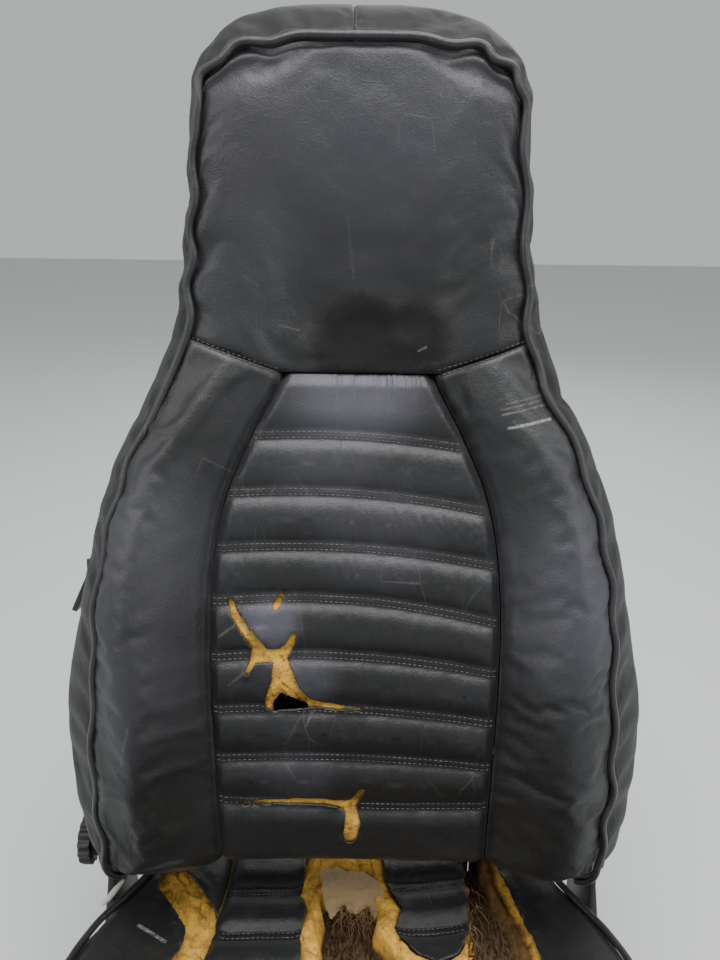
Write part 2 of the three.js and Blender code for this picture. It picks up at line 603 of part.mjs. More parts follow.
// ---- tip-forward latch: hooks on a cross shaft, push rod and side lever ----
const axle = { y: -LATCH_AXIS.t, z: LATCH_AXIS.s };
const crank = plate(strap(axle, 9, { y: -ROD.t, z: LATCH_AXIS.s }, 6), -ROD.out - 2, 4);
const axleRod = rodX(-ROD.out - 1, HOOK_OUT + HOOK, axle.y, axle.z, LATCH_AXIS.r, 10);
add(back, "latch_shaft", join(crank, axleRod), ZINC);
for (const [name, side] of SIDES) {
  const hook = strap(axle, 11, { y: -LATCH_PIN.t, z: LATCH_PIN.s }, 12);
  const body = cut(
    plate(hole(hook, axle.y, axle.z, LATCH_AXIS.r + GAP), HOOK_OUT, HOOK),
    rodX(HOOK_OUT - 1, HOOK_OUT + HOOK + 1, -LATCH_PIN.t, LATCH_PIN.s, LATCH_PIN.r + 0.6, 12),
    block(HOOK_OUT - 1, HOOK_OUT + HOOK + 1, -LATCH_PIN.t, -LATCH_PIN.t + 30, LATCH_PIN.s - 16, LATCH_PIN.s + 8.4),
  );
  add(back, "latch_hook_" + name, mirrored(body, side), STEEL);
}
const ROD_TOP = LEVER.s - 3;
const ROD_LOW = LATCH_AXIS.s + 8 + GAP;
const rod = new THREE.CylinderGeometry(ROD.r, ROD.r, ROD_TOP - ROD_LOW, 8).rotateX(Math.PI / 2);
add(back, "push_rod", rod.translate(-ROD.out, -ROD.t, (ROD_TOP + ROD_LOW) / 2), ZINC);

const LUG = { in: LEVER.out - 13, t: 11, wide: 4 };
const leverSlot = block(LEVER.out - 40, LEVER.out - 4, -6, 6, LEVER.s - 12, LEVER.s + 8);
const bezel = cut(
  join(
    leverBase(0),
    block(LUG.in, LEVER.out + 5, LUG.t, LUG.t + LUG.wide, LEVER.s - 6, LEVER.s + 6),
    block(LUG.in, LEVER.out + 5, -LUG.t - LUG.wide, -LUG.t, LEVER.s - 6, LEVER.s + 6),
  ),
  leverSlot,
  new THREE.CylinderGeometry(2.8, 2.8, 60, 10).translate(LEVER.out, 0, LEVER.s),
);
add(back, "lever_bezel", mirrored(bezel, -1), PLASTIC);
const blade = block(-2.5, 2.5, -9, 9, -LEVER.length, 0)
  .rotateY(-LEVER.tilt).translate(LEVER.out, 0, LEVER.s);
const lever = join(
  blade,
  new THREE.CylinderGeometry(4.5, 4.5, 2 * LUG.t - 1, 12).translate(LEVER.out, 0, LEVER.s),
  new THREE.CylinderGeometry(2.4, 2.4, 2 * (LUG.t + LUG.wide), 10).translate(LEVER.out, 0, LEVER.s),
  block(ROD.out + 1, LEVER.out, -3.5, 3.5, LEVER.s - 2, LEVER.s + 2),
  block(ROD.out - 3, ROD.out + 3, -3.5, -ROD.t + 3, LEVER.s - 2, LEVER.s + 2),
);
add(back, "release_lever", mirrored(lever, -1), PLASTIC);

// ---- slide release bar under the cushion's front ----
const BAR_Y = PIVOT_Y - CUSHION_FRONT + 8;
const BAR_Z = 36;
const HINGE_Y = RAIL_Y0 + 70;
const RELEASE_X = 172;
add(seat, "release_bar", rodX(-RELEASE_X - 6, RELEASE_X + 6, BAR_Y, BAR_Z, 6, 10), ZINC);
for (const [name, side] of SIDES) {
  const arm = block(RELEASE_X - 3, RELEASE_X + 3, BAR_Y + 6 + GAP, HINGE_Y, BAR_Z - 4, BAR_Z + 4);
  const post = rodX(RELEASE_X - 3, RAIL_OUT - RAIL_WIDTH / 2 + 2 - GAP, HINGE_Y, BAR_Z, 4, 10);
  add(seat, "release_arm_" + name, mirrored(join(arm, post), side), ZINC);
}

export default seat;
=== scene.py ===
"""A worn reclining sports seat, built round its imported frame.

Lengths inside the shape classes are millimetres: "out" across the seat, "s" up the backrest from
the hinge line, "t" forward out of the backrest and "d" forward along the cushion.
"""

from __future__ import annotations

import json
import logging
import math
import random
from dataclasses import dataclass, field
from enum import Enum
from typing import Callable, Iterable, Sequence

import bmesh
import bpy
from mathutils import Matrix, Vector, noise
from mathutils.bvhtree import BVHTree

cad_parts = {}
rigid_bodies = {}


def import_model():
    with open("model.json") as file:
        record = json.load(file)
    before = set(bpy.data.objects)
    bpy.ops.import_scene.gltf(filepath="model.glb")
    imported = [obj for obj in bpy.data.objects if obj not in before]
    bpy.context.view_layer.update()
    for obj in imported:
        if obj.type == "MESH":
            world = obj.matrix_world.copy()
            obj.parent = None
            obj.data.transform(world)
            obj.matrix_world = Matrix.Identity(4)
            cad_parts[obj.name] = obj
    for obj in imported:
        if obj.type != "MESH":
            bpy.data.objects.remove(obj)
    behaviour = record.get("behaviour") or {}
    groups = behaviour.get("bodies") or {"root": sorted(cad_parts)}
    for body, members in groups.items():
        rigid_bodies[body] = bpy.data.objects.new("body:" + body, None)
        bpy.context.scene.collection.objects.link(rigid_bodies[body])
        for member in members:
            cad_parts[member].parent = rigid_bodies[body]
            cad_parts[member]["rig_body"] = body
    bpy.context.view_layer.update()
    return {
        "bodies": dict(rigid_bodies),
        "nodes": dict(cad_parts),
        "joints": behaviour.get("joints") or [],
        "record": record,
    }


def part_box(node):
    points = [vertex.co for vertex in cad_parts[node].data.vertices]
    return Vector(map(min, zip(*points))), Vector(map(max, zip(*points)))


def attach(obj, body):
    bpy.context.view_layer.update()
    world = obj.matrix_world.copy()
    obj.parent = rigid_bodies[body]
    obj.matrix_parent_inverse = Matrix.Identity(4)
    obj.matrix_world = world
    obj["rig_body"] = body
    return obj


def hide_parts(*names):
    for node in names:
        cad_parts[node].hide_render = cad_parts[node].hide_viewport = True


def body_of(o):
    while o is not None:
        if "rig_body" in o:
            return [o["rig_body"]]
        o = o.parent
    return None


MM = 0.001
LOG = logging.getLogger("seat")
Point2 = tuple[float, float]
Mapping = Callable[[float, float], Vector]


# ---------------------------------------------------------------- small maths


def mix(a: float, b: float, f: float) -> float:
    """The value a share f of the way from a to b."""
    return a + (b - a) * f


def ease(low: float, high: float, q: float) -> float:
    """A smooth step from 0 at low to 1 at high."""
    f = min(max((q - low) / (high - low), 0.0), 1.0)
    return f * f * (3 - 2 * f)


def ruffle(x: float, y: float, size: float, seed: float = 0.0) -> float:
    """Smooth noise from about -1 to 1 whose lumps are about size across."""
    return noise.noise(Vector((x / size, y / size, seed * 7.31)))


class Profile:
    """A smooth curve through (station, value) pairs, flat beyond its ends."""

    def __init__(self, *stations: Point2) -> None:
        """Keeps the pairs, in rising order of station."""
        self.stations = stations

    def _slope(self, k: int) -> float:
        """The slope through a station's neighbours."""
        last = len(self.stations) - 1
        a, b = self.stations[max(k - 1, 0)], self.stations[min(k + 1, last)]
        return (b[1] - a[1]) / (b[0] - a[0])

    def __call__(self, q: float) -> float:
        """The value at q.

        Args:
            q: Where it is read.

        Returns:
            The value there.
        """
        pairs = self.stations
        if q <= pairs[0][0]:
            return pairs[0][1]
        if q >= pairs[-1][0]:
            return pairs[-1][1]
        i = max(k for k, (at, _) in enumerate(pairs) if at <= q)
        (q0, v0), (q1, v1) = pairs[i], pairs[i + 1]
        h = q1 - q0
        f = (q - q0) / h
        value = v0 * (1 + 2 * f) * (1 - f) ** 2 + v1 * f * f * (3 - 2 * f)
        return value + h * f * (1 - f) * (self._slope(i) * (1 - f) - self._slope(i + 1) * f)


# ---------------------------------------------------------------- shader nodes


class Wire:
    """A shader socket that Python's operators can be used on."""

    def __init__(self, maker: "Shader", socket: bpy.types.NodeSocket) -> None:
        """Wraps an output socket of the maker's tree."""
        self.maker = maker
        self.socket = socket

    def _math(self, operation: str, a: object, b: object = 0.0) -> "Wire":
        """Adds one Math node."""
        return self.maker.node("ShaderNodeMath", {"operation": operation}, {0: a, 1: b})

    def __add__(self, other: object) -> "Wire":
        """Sum."""
        return self._math("ADD", self, other)

    __radd__ = __add__

    def __mul__(self, other: object) -> "Wire":
        """Product."""
        return self._math("MULTIPLY", self, other)

    __rmul__ = __mul__

    def __sub__(self, other: object) -> "Wire":
        """Difference."""
        return self._math("SUBTRACT", self, other)

    def __rsub__(self, other: object) -> "Wire":
        """Difference, the other way."""
        return self._math("SUBTRACT", other, self)

    def __pow__(self, other: object) -> "Wire":
        """Power."""
        return self._math("POWER", self, other)

    def clip(self) -> "Wire":
        """The value kept between 0 and 1."""
        return self.maker.node("ShaderNodeClamp", {}, {0: self})

    def step(self, low: float, high: float) -> "Wire":
        """0 below low, 1 above high and smooth between."""
        settings = {"interpolation_type": "SMOOTHSTEP"}
        return self.maker.node("ShaderNodeMapRange", settings, {0: self, 1: low, 2: high, 3: 0.0, 4: 1.0})

    def top(self, other: object) -> "Wire":
        """The larger of two values."""
        return self._math("MAXIMUM", self, other)


class Shader:
    """One material and the nodes in it."""

    def __init__(self, name: str) -> None:
        """Starts a material with only its output and surface nodes.

        Args:
            name: The material's name.
        """
        self.material = bpy.data.materials.new(name)
        self.material.use_nodes = True
        self.tree = self.material.node_tree
        self.surface = next(n for n in self.tree.nodes if n.type == "BSDF_PRINCIPLED")
        coordinates = self.tree.nodes.new("ShaderNodeTexCoord")
        self.place = Wire(self, coordinates.outputs["Object"])

    def node(self, kind: str, settings: dict[str, object], inputs: dict[object, object],
        out: object = 0) -> Wire:
        """Adds a node.

        Args:
            kind: The node's type.
            settings: Its properties, set before its sockets.
            inputs: Socket name or number to a value or a Wire.
            out: The output wanted, by name or number.

        Returns:
            The output as a Wire.
        """
        made = self.tree.nodes.new(kind)
        for key, value in settings.items():
            setattr(made, key, value)
        for key, value in inputs.items():
            if isinstance(value, Wire):
                self.tree.links.new(value.socket, made.inputs[key])
            else:
                made.inputs[key].default_value = value
        return Wire(self, made.outputs[out])

    def stretched(self, scale: Sequence[float]) -> Wire:
        """Object coordinates stretched along each axis."""
        return self.node("ShaderNodeMapping", {}, {"Vector": self.place, "Scale": tuple(scale)})

    def cloud(self, scale: float, detail: float = 4.0, rough: float = 0.55, at: Wire | None = None) -> Wire:
        """Soft noise from 0 to 1 with so many lumps to a metre."""
        values = {"Vector": at or self.place, "Scale": scale, "Detail": detail, "Roughness": rough}
        return self.node("ShaderNodeTexNoise", {}, values, "Fac")

    def cells(self, scale: float, feature: str = "F1", at: Wire | None = None) -> Wire:
        """Distance inside Voronoi cells."""
        return self.node("ShaderNodeTexVoronoi", {"feature": feature},
            {"Vector": at or self.place, "Scale": scale}, "Distance")

    def near(self, point: Vector, reach: float, soft: float) -> Wire:
        """1 within reach of a point and 0 beyond reach + soft, in metres."""
        away = self.node("ShaderNodeVectorMath", {"operation": "DISTANCE"}, {0: self.place, 1: tuple(point)},
            "Value")
        return 1.0 - away.step(reach, reach + soft)

    def blend(self, factor: object, a: object, b: object) -> Wire:
        """Colour a where factor is 0 and b where it is 1.

        Args:
            factor: Share of b.
            a: The first colour.
            b: The second colour.

        Returns:
            The socket that carries it.
        """
        made = self.tree.nodes.new("ShaderNodeMix")
        made.data_type = "RGBA"
        for index, value in ((0, factor), (6, a), (7, b)):
            if isinstance(value, Wire):
                self.tree.links.new(value.socket, made.inputs[index])
            elif index:
                made.inputs[index].default_value = (*value, 1.0)
            else:
                made.inputs[index].default_value = value
        return Wire(self, made.outputs[2])

    def bump(self, height: Wire, distance: float, strength: float = 1.0, under: Wire | None = None) -> Wire:
        """A bumped normal from a height.

        Args:
            height: The height.
            distance: The greatest height, in metres.
            strength: How strongly it shows, negative to sink.
            under: The normal below it.

        Returns:
            The socket that carries it.
        """
        inputs: dict[object, object] = {"Height": height, "Distance": distance, "Strength": strength}
        if under is not None:
            inputs["Normal"] = under
        return self.node("ShaderNodeBump", {}, inputs, "Normal")

    def feed(self, socket: str, value: object) -> None:
        """Links a Wire to the surface's socket, or sets the socket's own value.

        Args:
            socket: The socket's name.
            value: A Wire, or a plain value.
        """
        if isinstance(value, Wire):
            self.tree.links.new(value.socket, self.surface.inputs[socket])
        elif isinstance(value, tuple):
            self.surface.inputs[socket].default_value = (*value, 1.0)
        else:
            self.surface.inputs[socket].default_value = value

    def attribute(self, name: str) -> Wire:
        """A number stored on the mesh's points."""
        return self.node("ShaderNodeAttribute", {"attribute_name": name}, {}, "Fac")

    def edges(self) -> Wire:
        """0.5 on flat ground, more on outer edges and less in hollows."""
        return self.node("ShaderNodeNewGeometry", {}, {}, "Pointiness")


Colour = tuple[float, float, float]


@dataclass(frozen=True)
class Spot:
    """A soft round patch on a material, in metres."""

    at: tuple[float, float, float]
    reach: float
    soft: float
    strength: float = 1.0


@dataclass(frozen=True)
class Scuff:
    """A straight rubbed mark on a material, in metres."""

    start: tuple[float, float, float]
    end: tuple[float, float, float]
    width: float = 0.0011
    colour: Colour = (0.16, 0.16, 0.16)
    out: tuple[float, float, float] = (0.0, 0.0, 1.0)


@dataclass(frozen=True)
class Leatherette:
    """Grained black leatherette, dulled and dusty with age, with patches of painted highlight."""

    name: str = "leatherette"
    base: Colour = (0.0065, 0.0067, 0.0070)
    bloom: Colour = (0.020, 0.0205, 0.0235)
    dust: Colour = (0.021, 0.0205, 0.016)
    scratch: Colour = (0.16, 0.155, 0.15)
    gloss_low: float = 0.36
    gloss_high: float = 0.56
    specular: float = 0.5
    # Patches of painted highlight and sheen, where the base colour is lightened towards lilac-grey.
    painted_highlights: tuple[Spot, ...] = ()
    soiled: tuple[Spot, ...] = ()
    scuffs: tuple[Scuff, ...] = ()

    def make(self) -> bpy.types.Material:
        """Builds the material.

        Returns:
            The material.
        """
        m = Shader(self.name)
        haze = m.cloud(5.5, 5.0).step(0.42, 0.68)
        mottle = m.cloud(38.0, 6.0, 0.65)
        dusty = (m.cloud(16.0, 6.0, 0.7, m.stretched((1.0, 1.0, 1.7))).step(0.5, 0.78) * 0.55).clip()
        hairs = m.cells(26.0, "DISTANCE_TO_EDGE", m.stretched((1.0, 0.8, 0.35)))
        hair = (1.0 - hairs.step(0.0, 0.012)) * m.cloud(9.0, 3.0).step(0.56, 0.7)
        worn = m.edges().step(0.53, 0.6)
        highlight_mask = self._spots(m, self.painted_highlights)
        soil = self._spots(m, self.soiled)
        tint = m.blend(haze * 0.75 + mottle * 0.18, self.base, self.bloom)
        tint = m.blend(dusty, tint, self.dust)
        tint = m.blend((hair * 0.35).clip(), tint, self.scratch)
        tint = m.blend((worn * 0.35).clip(), tint, (0.075, 0.073, 0.075))
        # Painted highlight: lightens the colour to lilac-grey over those patches, standing in for sheen.
        if highlight_mask is not None:
            tint = m.blend((highlight_mask * 0.75).clip(), tint, (0.085, 0.083, 0.105))
        grime: Wire | None = None
        if soil is not None:
            grime = ((soil + (m.cloud(75.0, 9.0, 0.8) - 0.5) * 1.1).step(0.15, 0.95) * soil.step(0.0,
                0.35)).clip()
            tint = m.blend(grime, tint, (0.002, 0.002, 0.002))
        for mark in self.scuffs:
            worn_off = (self._stroke(m, mark) * m.cloud(300.0, 6.0, 0.8).step(0.36, 0.58)).clip()
            tint = m.blend(worn_off, tint, mark.colour)
        m.feed("Base Color", tint)
        rough = self.gloss_low + (self.gloss_high - self.gloss_low) * (mottle * 0.6 + dusty * 0.5)
        if grime is not None:
            rough = rough + grime * 0.5
        m.feed("Roughness", (rough - worn * 0.05).clip())
        m.feed("Specular IOR Level", self.specular)
        m.feed("Sheen Weight", 0.05)
        m.feed("Sheen Roughness", 0.45)
        grain = m.cells(820.0) + m.cells(1500.0) * 0.5
        fine = m.bump(grain, 0.00022, 0.75)
        creased = m.bump(m.cloud(150.0, 6.0, 0.65, m.stretched((1.0, 1.0, 0.6))), 0.0012, 0.55, fine)
        m.feed("Normal", m.bump(hair, 0.0006, -0.5, creased))
        return m.material

    @staticmethod
    def _stroke(m: Shader, mark: "Scuff") -> Wire:
        """1 along a straight mark and 0 away from it.

        Args:
            m: The material.
            mark: The mark.

        Returns:
            The socket that carries it.
        """
        start, end = Vector(mark.start), Vector(mark.end)
        along = end - start
        away = m.node("ShaderNodeVectorMath", {"operation": "SUBTRACT"}, {0: m.place, 1: tuple(start)},
            "Vector")
        deep = m.node("ShaderNodeVectorMath", {"operation": "PROJECT"}, {0: away, 1: mark.out}, "Vector")
        away = m.node("ShaderNodeVectorMath", {"operation": "SUBTRACT"}, {0: away, 1: deep}, "Vector")
        flat = Vector(mark.out).normalized()
        along -= flat * along.dot(flat)
        inverse = tuple(along / along.length_squared)
        share = m.node("ShaderNodeVectorMath", {"operation": "DOT_PRODUCT"}, {0: away, 1: inverse},
            "Value").clip()
        reach = m.node("ShaderNodeVectorMath", {"operation": "SCALE"}, {0: tuple(along), "Scale": share},
            "Vector")
        gap = m.node("ShaderNodeVectorMath", {"operation": "DISTANCE"}, {0: away, 1: reach}, "Value")
        return 1.0 - gap.step(mark.width * 0.3, mark.width)

    @staticmethod
    def _spots(m: Shader, spots: Iterable[Spot]) -> Wire | None:
        """The strongest of several patches at each point.

        Args:
            m: The material.
            spots: The patches.

        Returns:
            The patches, or None if there are none.
        """
        found: Wire | None = None
        for spot in spots:
            patch = m.near(Vector(spot.at), spot.reach, spot.soft) * spot.strength
            found = patch if found is None else found.top(patch)
        return found


@dataclass(frozen=True)
class Foam:
    """Aged polyurethane foam, yellow where fresh and brown where it rots."""

    name: str = "foam"
    fresh: Colour = (0.80, 0.46, 0.075)
    old: Colour = (0.42, 0.225, 0.05)
    pale: Colour = (0.86, 0.62, 0.26)
    coir: Colour = (0.035, 0.021, 0.011)

    def make(self) -> bpy.types.Material:
        """Builds the material; "rot" on the mesh turns it to coir and "hollow" paints it near black as
        shadow.

        Returns:
            The material.
        """
        m = Shader(self.name)
        blotch = m.cloud(45.0, 6.0, 0.7)
        pores = m.cells(620.0) + m.cells(1300.0) * 0.6
        tint = m.blend(blotch.step(0.38, 0.66), self.fresh, self.old)
        tint = m.blend((m.cloud(120.0, 5.0, 0.7).step(0.55, 0.75) * 0.55).clip(), tint, self.pale)
        cracks = 1.0 - m.cells(70.0, "DISTANCE_TO_EDGE").step(0.0, 0.035)
        tint = m.blend((cracks * m.cloud(30.0).step(0.5, 0.62) * 0.8).clip(), tint, (0.05, 0.024, 0.01))
        rot = m.attribute("rot")
        fibres = m.cloud(420.0, 5.0, 0.7, m.stretched((1.0, 0.22, 1.0)))
        mat = m.blend(fibres.step(0.4, 0.62), self.coir, (0.15, 0.095, 0.05))
        brown = m.blend(blotch.step(0.3, 0.7), (0.20, 0.105, 0.035), (0.075, 0.04, 0.018))
        tint = m.blend((m.attribute("age") + (blotch - 0.5) * 0.9).step(0.25, 1.0), tint, brown)
        tint = m.blend((rot + (blotch - 0.5) * 0.5).step(0.35, 0.65), tint, mat)
        # Painted shadow: near black wherever the mesh's "hollow" marks the sunken cave.
        m.feed("Base Color", m.blend(m.attribute("hollow").step(0.1, 0.6), tint, (0.004, 0.003, 0.002)))
        m.feed("Roughness", 0.95)
        m.feed("Specular IOR Level", 0.15)
        rough = m.bump(m.cloud(260.0, 6.0, 0.7), 0.0022, 0.8, m.bump(pores, 0.0007, 0.8))
        m.feed("Normal", m.bump(fibres, 0.0016, 0.6, rough))
        return m.material


@dataclass(frozen=True)
class Plain:
    """A moulded, painted or plated finish with wear on its edges."""

    name: str
    colour: Colour
    worn: Colour
    rough: float = 0.45
    metal: float = 0.0
    worn_metal: float = 0.0
    spots: Colour | None = None
    spot_share: float = 0.6
    grain: float = 900.0
    grain_depth: float = 0.00008
    wear: float = 0.7

    def make(self) -> bpy.types.Material:
        """Builds the material.

        Returns:
            The material.
        """
        m = Shader(self.name)
        smudge = m.cloud(24.0, 6.0, 0.65)
        chipped = (m.edges() + (m.cloud(140.0, 6.0, 0.7) - 0.5) * 0.12).step(0.53, 0.6) * self.wear
        tint = m.blend((smudge * 0.25).clip(), self.colour, tuple(c * 1.8 + 0.004 for c in self.colour))
        tint = m.blend(chipped.clip(), tint, self.worn)
        rough = self.rough + (smudge - 0.5) * 0.22
        metal: object = self.metal + chipped * (self.worn_metal - self.metal)
        if self.spots is not None:
            rust = m.cloud(70.0, 9.0, 0.78).step(self.spot_share, self.spot_share + 0.1)
            tint = m.blend(rust, tint, self.spots)
            rough = rough + rust * 0.35
            metal = metal * (1.0 - rust)
        m.feed("Base Color", tint)
        m.feed("Roughness", rough.clip())
        m.feed("Metallic", metal.clip() if isinstance(metal, Wire) else metal)
        fine = m.bump(m.cloud(self.grain, 4.0, 0.6), self.grain_depth, 0.8)
        m.feed("Normal", m.bump(smudge, 0.0004, 0.3, fine))
        return m.material


@dataclass(frozen=True)
class Thread:
    """Spun sewing thread, faded."""

    name: str = "thread"
    colour: Colour = (0.145, 0.135, 0.118)

    def make(self) -> bpy.types.Material:
        """Builds the material.

        Returns:
            The material.
        """
        m = Shader(self.name)
        age = m.cloud(60.0, 4.0)
        m.feed("Base Color", m.blend(age.step(0.35, 0.65), tuple(c * 0.45 for c in self.colour), self.colour))
        m.feed("Roughness", 0.8)
        twist = m.cloud(2600.0, 2.0, 0.5, m.stretched((1.0, 1.0, 2.0)))
        m.feed("Normal", m.bump(twist, 0.0003, 0.7))
        return m.material


@dataclass(frozen=True)
class Ground:
    """A plain pale floor."""

    name: str = "pale_floor"
    colour: Colour = (0.60, 0.61, 0.62)

    def make(self) -> bpy.types.Material:
        """Builds the material.

        Returns:
            The material.
        """
        m = Shader(self.name)
        fleck = m.cloud(240.0, 5.0, 0.7)
        m.feed("Base Color", m.blend((fleck * 0.16).clip(), self.colour, (0.45, 0.455, 0.47)))
        m.feed("Roughness", 0.75)
        return m.material


# ---------------------------------------------------------------- mesh making


def add_object(name: str, mesh: bpy.types.Mesh) -> bpy.types.Object:
    """An object for a mesh, linked to the scene."""
    made = bpy.data.objects.new(name, mesh)
    bpy.context.scene.collection.objects.link(made)
    return made


def finish_mesh(bm: bmesh.types.BMesh, name: str, smooth: bool = True) -> bpy.types.Object:
    """Turns a bmesh into an object.

    Args:
        bm: The bmesh, freed here.
        name: The piece's name.
        smooth: Whether faces are shaded smooth.

    Returns:
        The new object.
    """
    mesh = bpy.data.meshes.new(name)
    bm.to_mesh(mesh)
    bm.free()
    mesh.shade_smooth() if smooth else mesh.shade_flat()
    return add_object(name, mesh)


def add_modifier(piece: bpy.types.Object, kind: str, **values: object) -> bpy.types.Modifier:
    """Adds a modifier and sets its values.

    Args:
        piece: The piece.
        kind: The kind of modifier.
        values: Its settings.

    Returns:
        The modifier.
    """
    made = piece.modifiers.new(kind.lower(), kind)
    for key, value in values.items():
        setattr(made, key, value)
    return made


def thicken(piece: bpy.types.Object, thickness: float, offset: float = -1.0) -> None:
    """Gives a sheet a wall, inward by default, in metres."""
    add_modifier(piece, "SOLIDIFY", thickness=thickness, offset=offset, use_even_offset=False)


def bevel_edges(bm: bmesh.types.BMesh, width: float, segments: int = 2, angle: float = 0.6) -> None:
    """Rounds the edges that turn by more than an angle, in radians.

    Args:
        bm: The mesh.
        width: Width in metres.
        segments: Steps round an edge.
        angle: The least turn.
    """
    sharp = [e for e in bm.edges if len(e.link_faces) == 2 and e.calc_face_angle(0.0) > angle]
    bmesh.ops.bevel(
        bm, geom=sharp, offset=width, offset_type="OFFSET", segments=segments,
        profile=0.5, affect="EDGES", clamp_overlap=True, material=-1,
    )


def tube(name: str, points: Sequence[Vector], radius: float, sides: int = 6,
    taper: Callable[[float], float] | None = None) -> bpy.types.Object:
    """A round tube along points, in metres.

    Args:
        name: The piece's name.
        points: The centre line.
        radius: The tube's radius.
        sides: Half the number of faces round it.
        taper: Share of the radius at each point, by share of the length.

    Returns:
        The tube as a mesh object.
    """
    curve = bpy.data.curves.new(name + "_line", "CURVE")
    curve.dimensions = "3D"
    curve.bevel_depth = radius
    curve.bevel_resolution = max(sides // 2 - 1, 0)
    curve.use_fill_caps = True
    curve.resolution_u = 1
    line = curve.splines.new("POLY")
    line.points.add(len(points) - 1)
    for i, (slot, point) in enumerate(zip(line.points, points)):
        slot.co = (*point, 1.0)
        slot.radius = taper(i / (len(points) - 1)) if taper else 1.0
    holder = bpy.data.objects.new(name + "_line", curve)
    bpy.context.scene.collection.objects.link(holder)
    bpy.context.view_layer.update()
    mesh = bpy.data.meshes.new_from_object(holder.evaluated_get(bpy.context.evaluated_depsgraph_get()))
    bpy.data.objects.remove(holder)
    bpy.data.curves.remove(curve)
    mesh.name = name
    mesh.shade_smooth()
    return add_object(name, mesh)


@dataclass(frozen=True)
class Tear:
    """A split in a cover: strokes of (across, along, half width), in millimetres."""

    strokes: list[list[tuple[float, float, float]]]
    ragged: float = 0.8

    def gap(self, x: float, y: float) -> float:
        """Distance outside the split's edge, negative inside it.

        Args:
            x: Millimetres across.
            y: Millimetres along.

        Returns:
            Millimetres.
        """
        best = 1e9
        for stroke in self.strokes:
            for (ax, ay, ar), (bx, by, br) in zip(stroke, stroke[1:]):
                dx, dy = bx - ax, by - ay
                f = min(max(((x - ax) * dx + (y - ay) * dy) / (dx * dx + dy * dy), 0.0), 1.0)
                best = min(best, math.hypot(x - ax - f * dx, y - ay - f * dy) - mix(ar, br, f))
        if best < 12.0:
            best += self.ragged * ruffle(x, y, 5.0, 3.0) + 0.5 * self.ragged * ruffle(x, y, 1.8, 5.0)
        return best

    def onto_edge(self, x: float, y: float) -> Point2:
        """The nearest point of the split's edge.

        Args:
            x: Millimetres across.
            y: Millimetres along.

        Returns:
            Its two coordinates, in millimetres.
        """
        for _ in range(3):
            g = self.gap(x, y)
            gx = (self.gap(x + 0.2, y) - g) / 0.2
            gy = (self.gap(x, y + 0.2) - g) / 0.2
            size = max(gx * gx + gy * gy, 0.05)
            x, y = x - gx * g / size, y - gy * g / size
        return x, y


@dataclass
class Panel:
    """A sheet drawn over a rectangle of u and v, each from 0 to 1."""

    name: str
    across: int
    along: int
    plan: Callable[[float, float], Point2]
    place: Callable[[float, float], Vector]
    tears: Sequence[Tear] = ()

    def build(self) -> bpy.types.Object:
        """Makes the sheet, with its tears cut out and their edges drawn true.

        Returns:
            The finished object.
        """
        bm = bmesh.new()
        bmesh.ops.create_grid(bm, x_segments=self.across, y_segments=self.along, size=0.5)
        spots: dict[bmesh.types.BMVert, Point2] = {}
        gaps: dict[bmesh.types.BMVert, tuple[float, Tear]] = {}
        for v in bm.verts:
            spots[v] = self.plan(v.co.x + 0.5, v.co.y + 0.5)
            if self.tears:
                gaps[v] = min(((tear.gap(*spots[v]), tear) for tear in self.tears), key=lambda pair: pair[0])
        lost = [f for f in bm.faces if self.tears and all(gaps[v][0] < 0 for v in f.verts)]
        bmesh.ops.delete(bm, geom=lost, context="FACES")
        for v in bm.verts:
            x, y = spots[v]
            if self.tears and gaps[v][0] < 0:
                x, y = gaps[v][1].onto_edge(x, y)
            v.co = self.place(x, y)
        bmesh.ops.recalc_face_normals(bm, faces=bm.faces)
        return finish_mesh(bm, self.name)


def face_way(piece: bpy.types.Object, toward: Vector) -> None:
    """Turns a sheet's faces round if most look away from a direction."""
    total = sum((p.normal.dot(toward) * p.area for p in piece.data.polygons), 0.0)
    if total < 0:
        piece.data.flip_normals()


class Fill(Enum):
    """How full a padded piece is."""

    COVER = 0.7
    FOAM = 0.9


def publish(
    piece: bpy.types.Object,
    material: bpy.types.Material,
    body: str,
    replaces: Sequence[str] = (),
) -> bpy.types.Object:
    """Dresses a finished piece and hands it to the frame.

    Args:
        piece: The piece, in place.
        material: Its material.
        body: The CAD body that it rides on.
        replaces: CAD nodes that it stands for.

    Returns:
        The same piece.
    """
    piece.data.materials.clear()
    piece.data.materials.append(material)
    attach(piece, body)
    if replaces:
        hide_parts(*replaces)
    LOG.info("%s on %s", piece.name, body)
    return piece


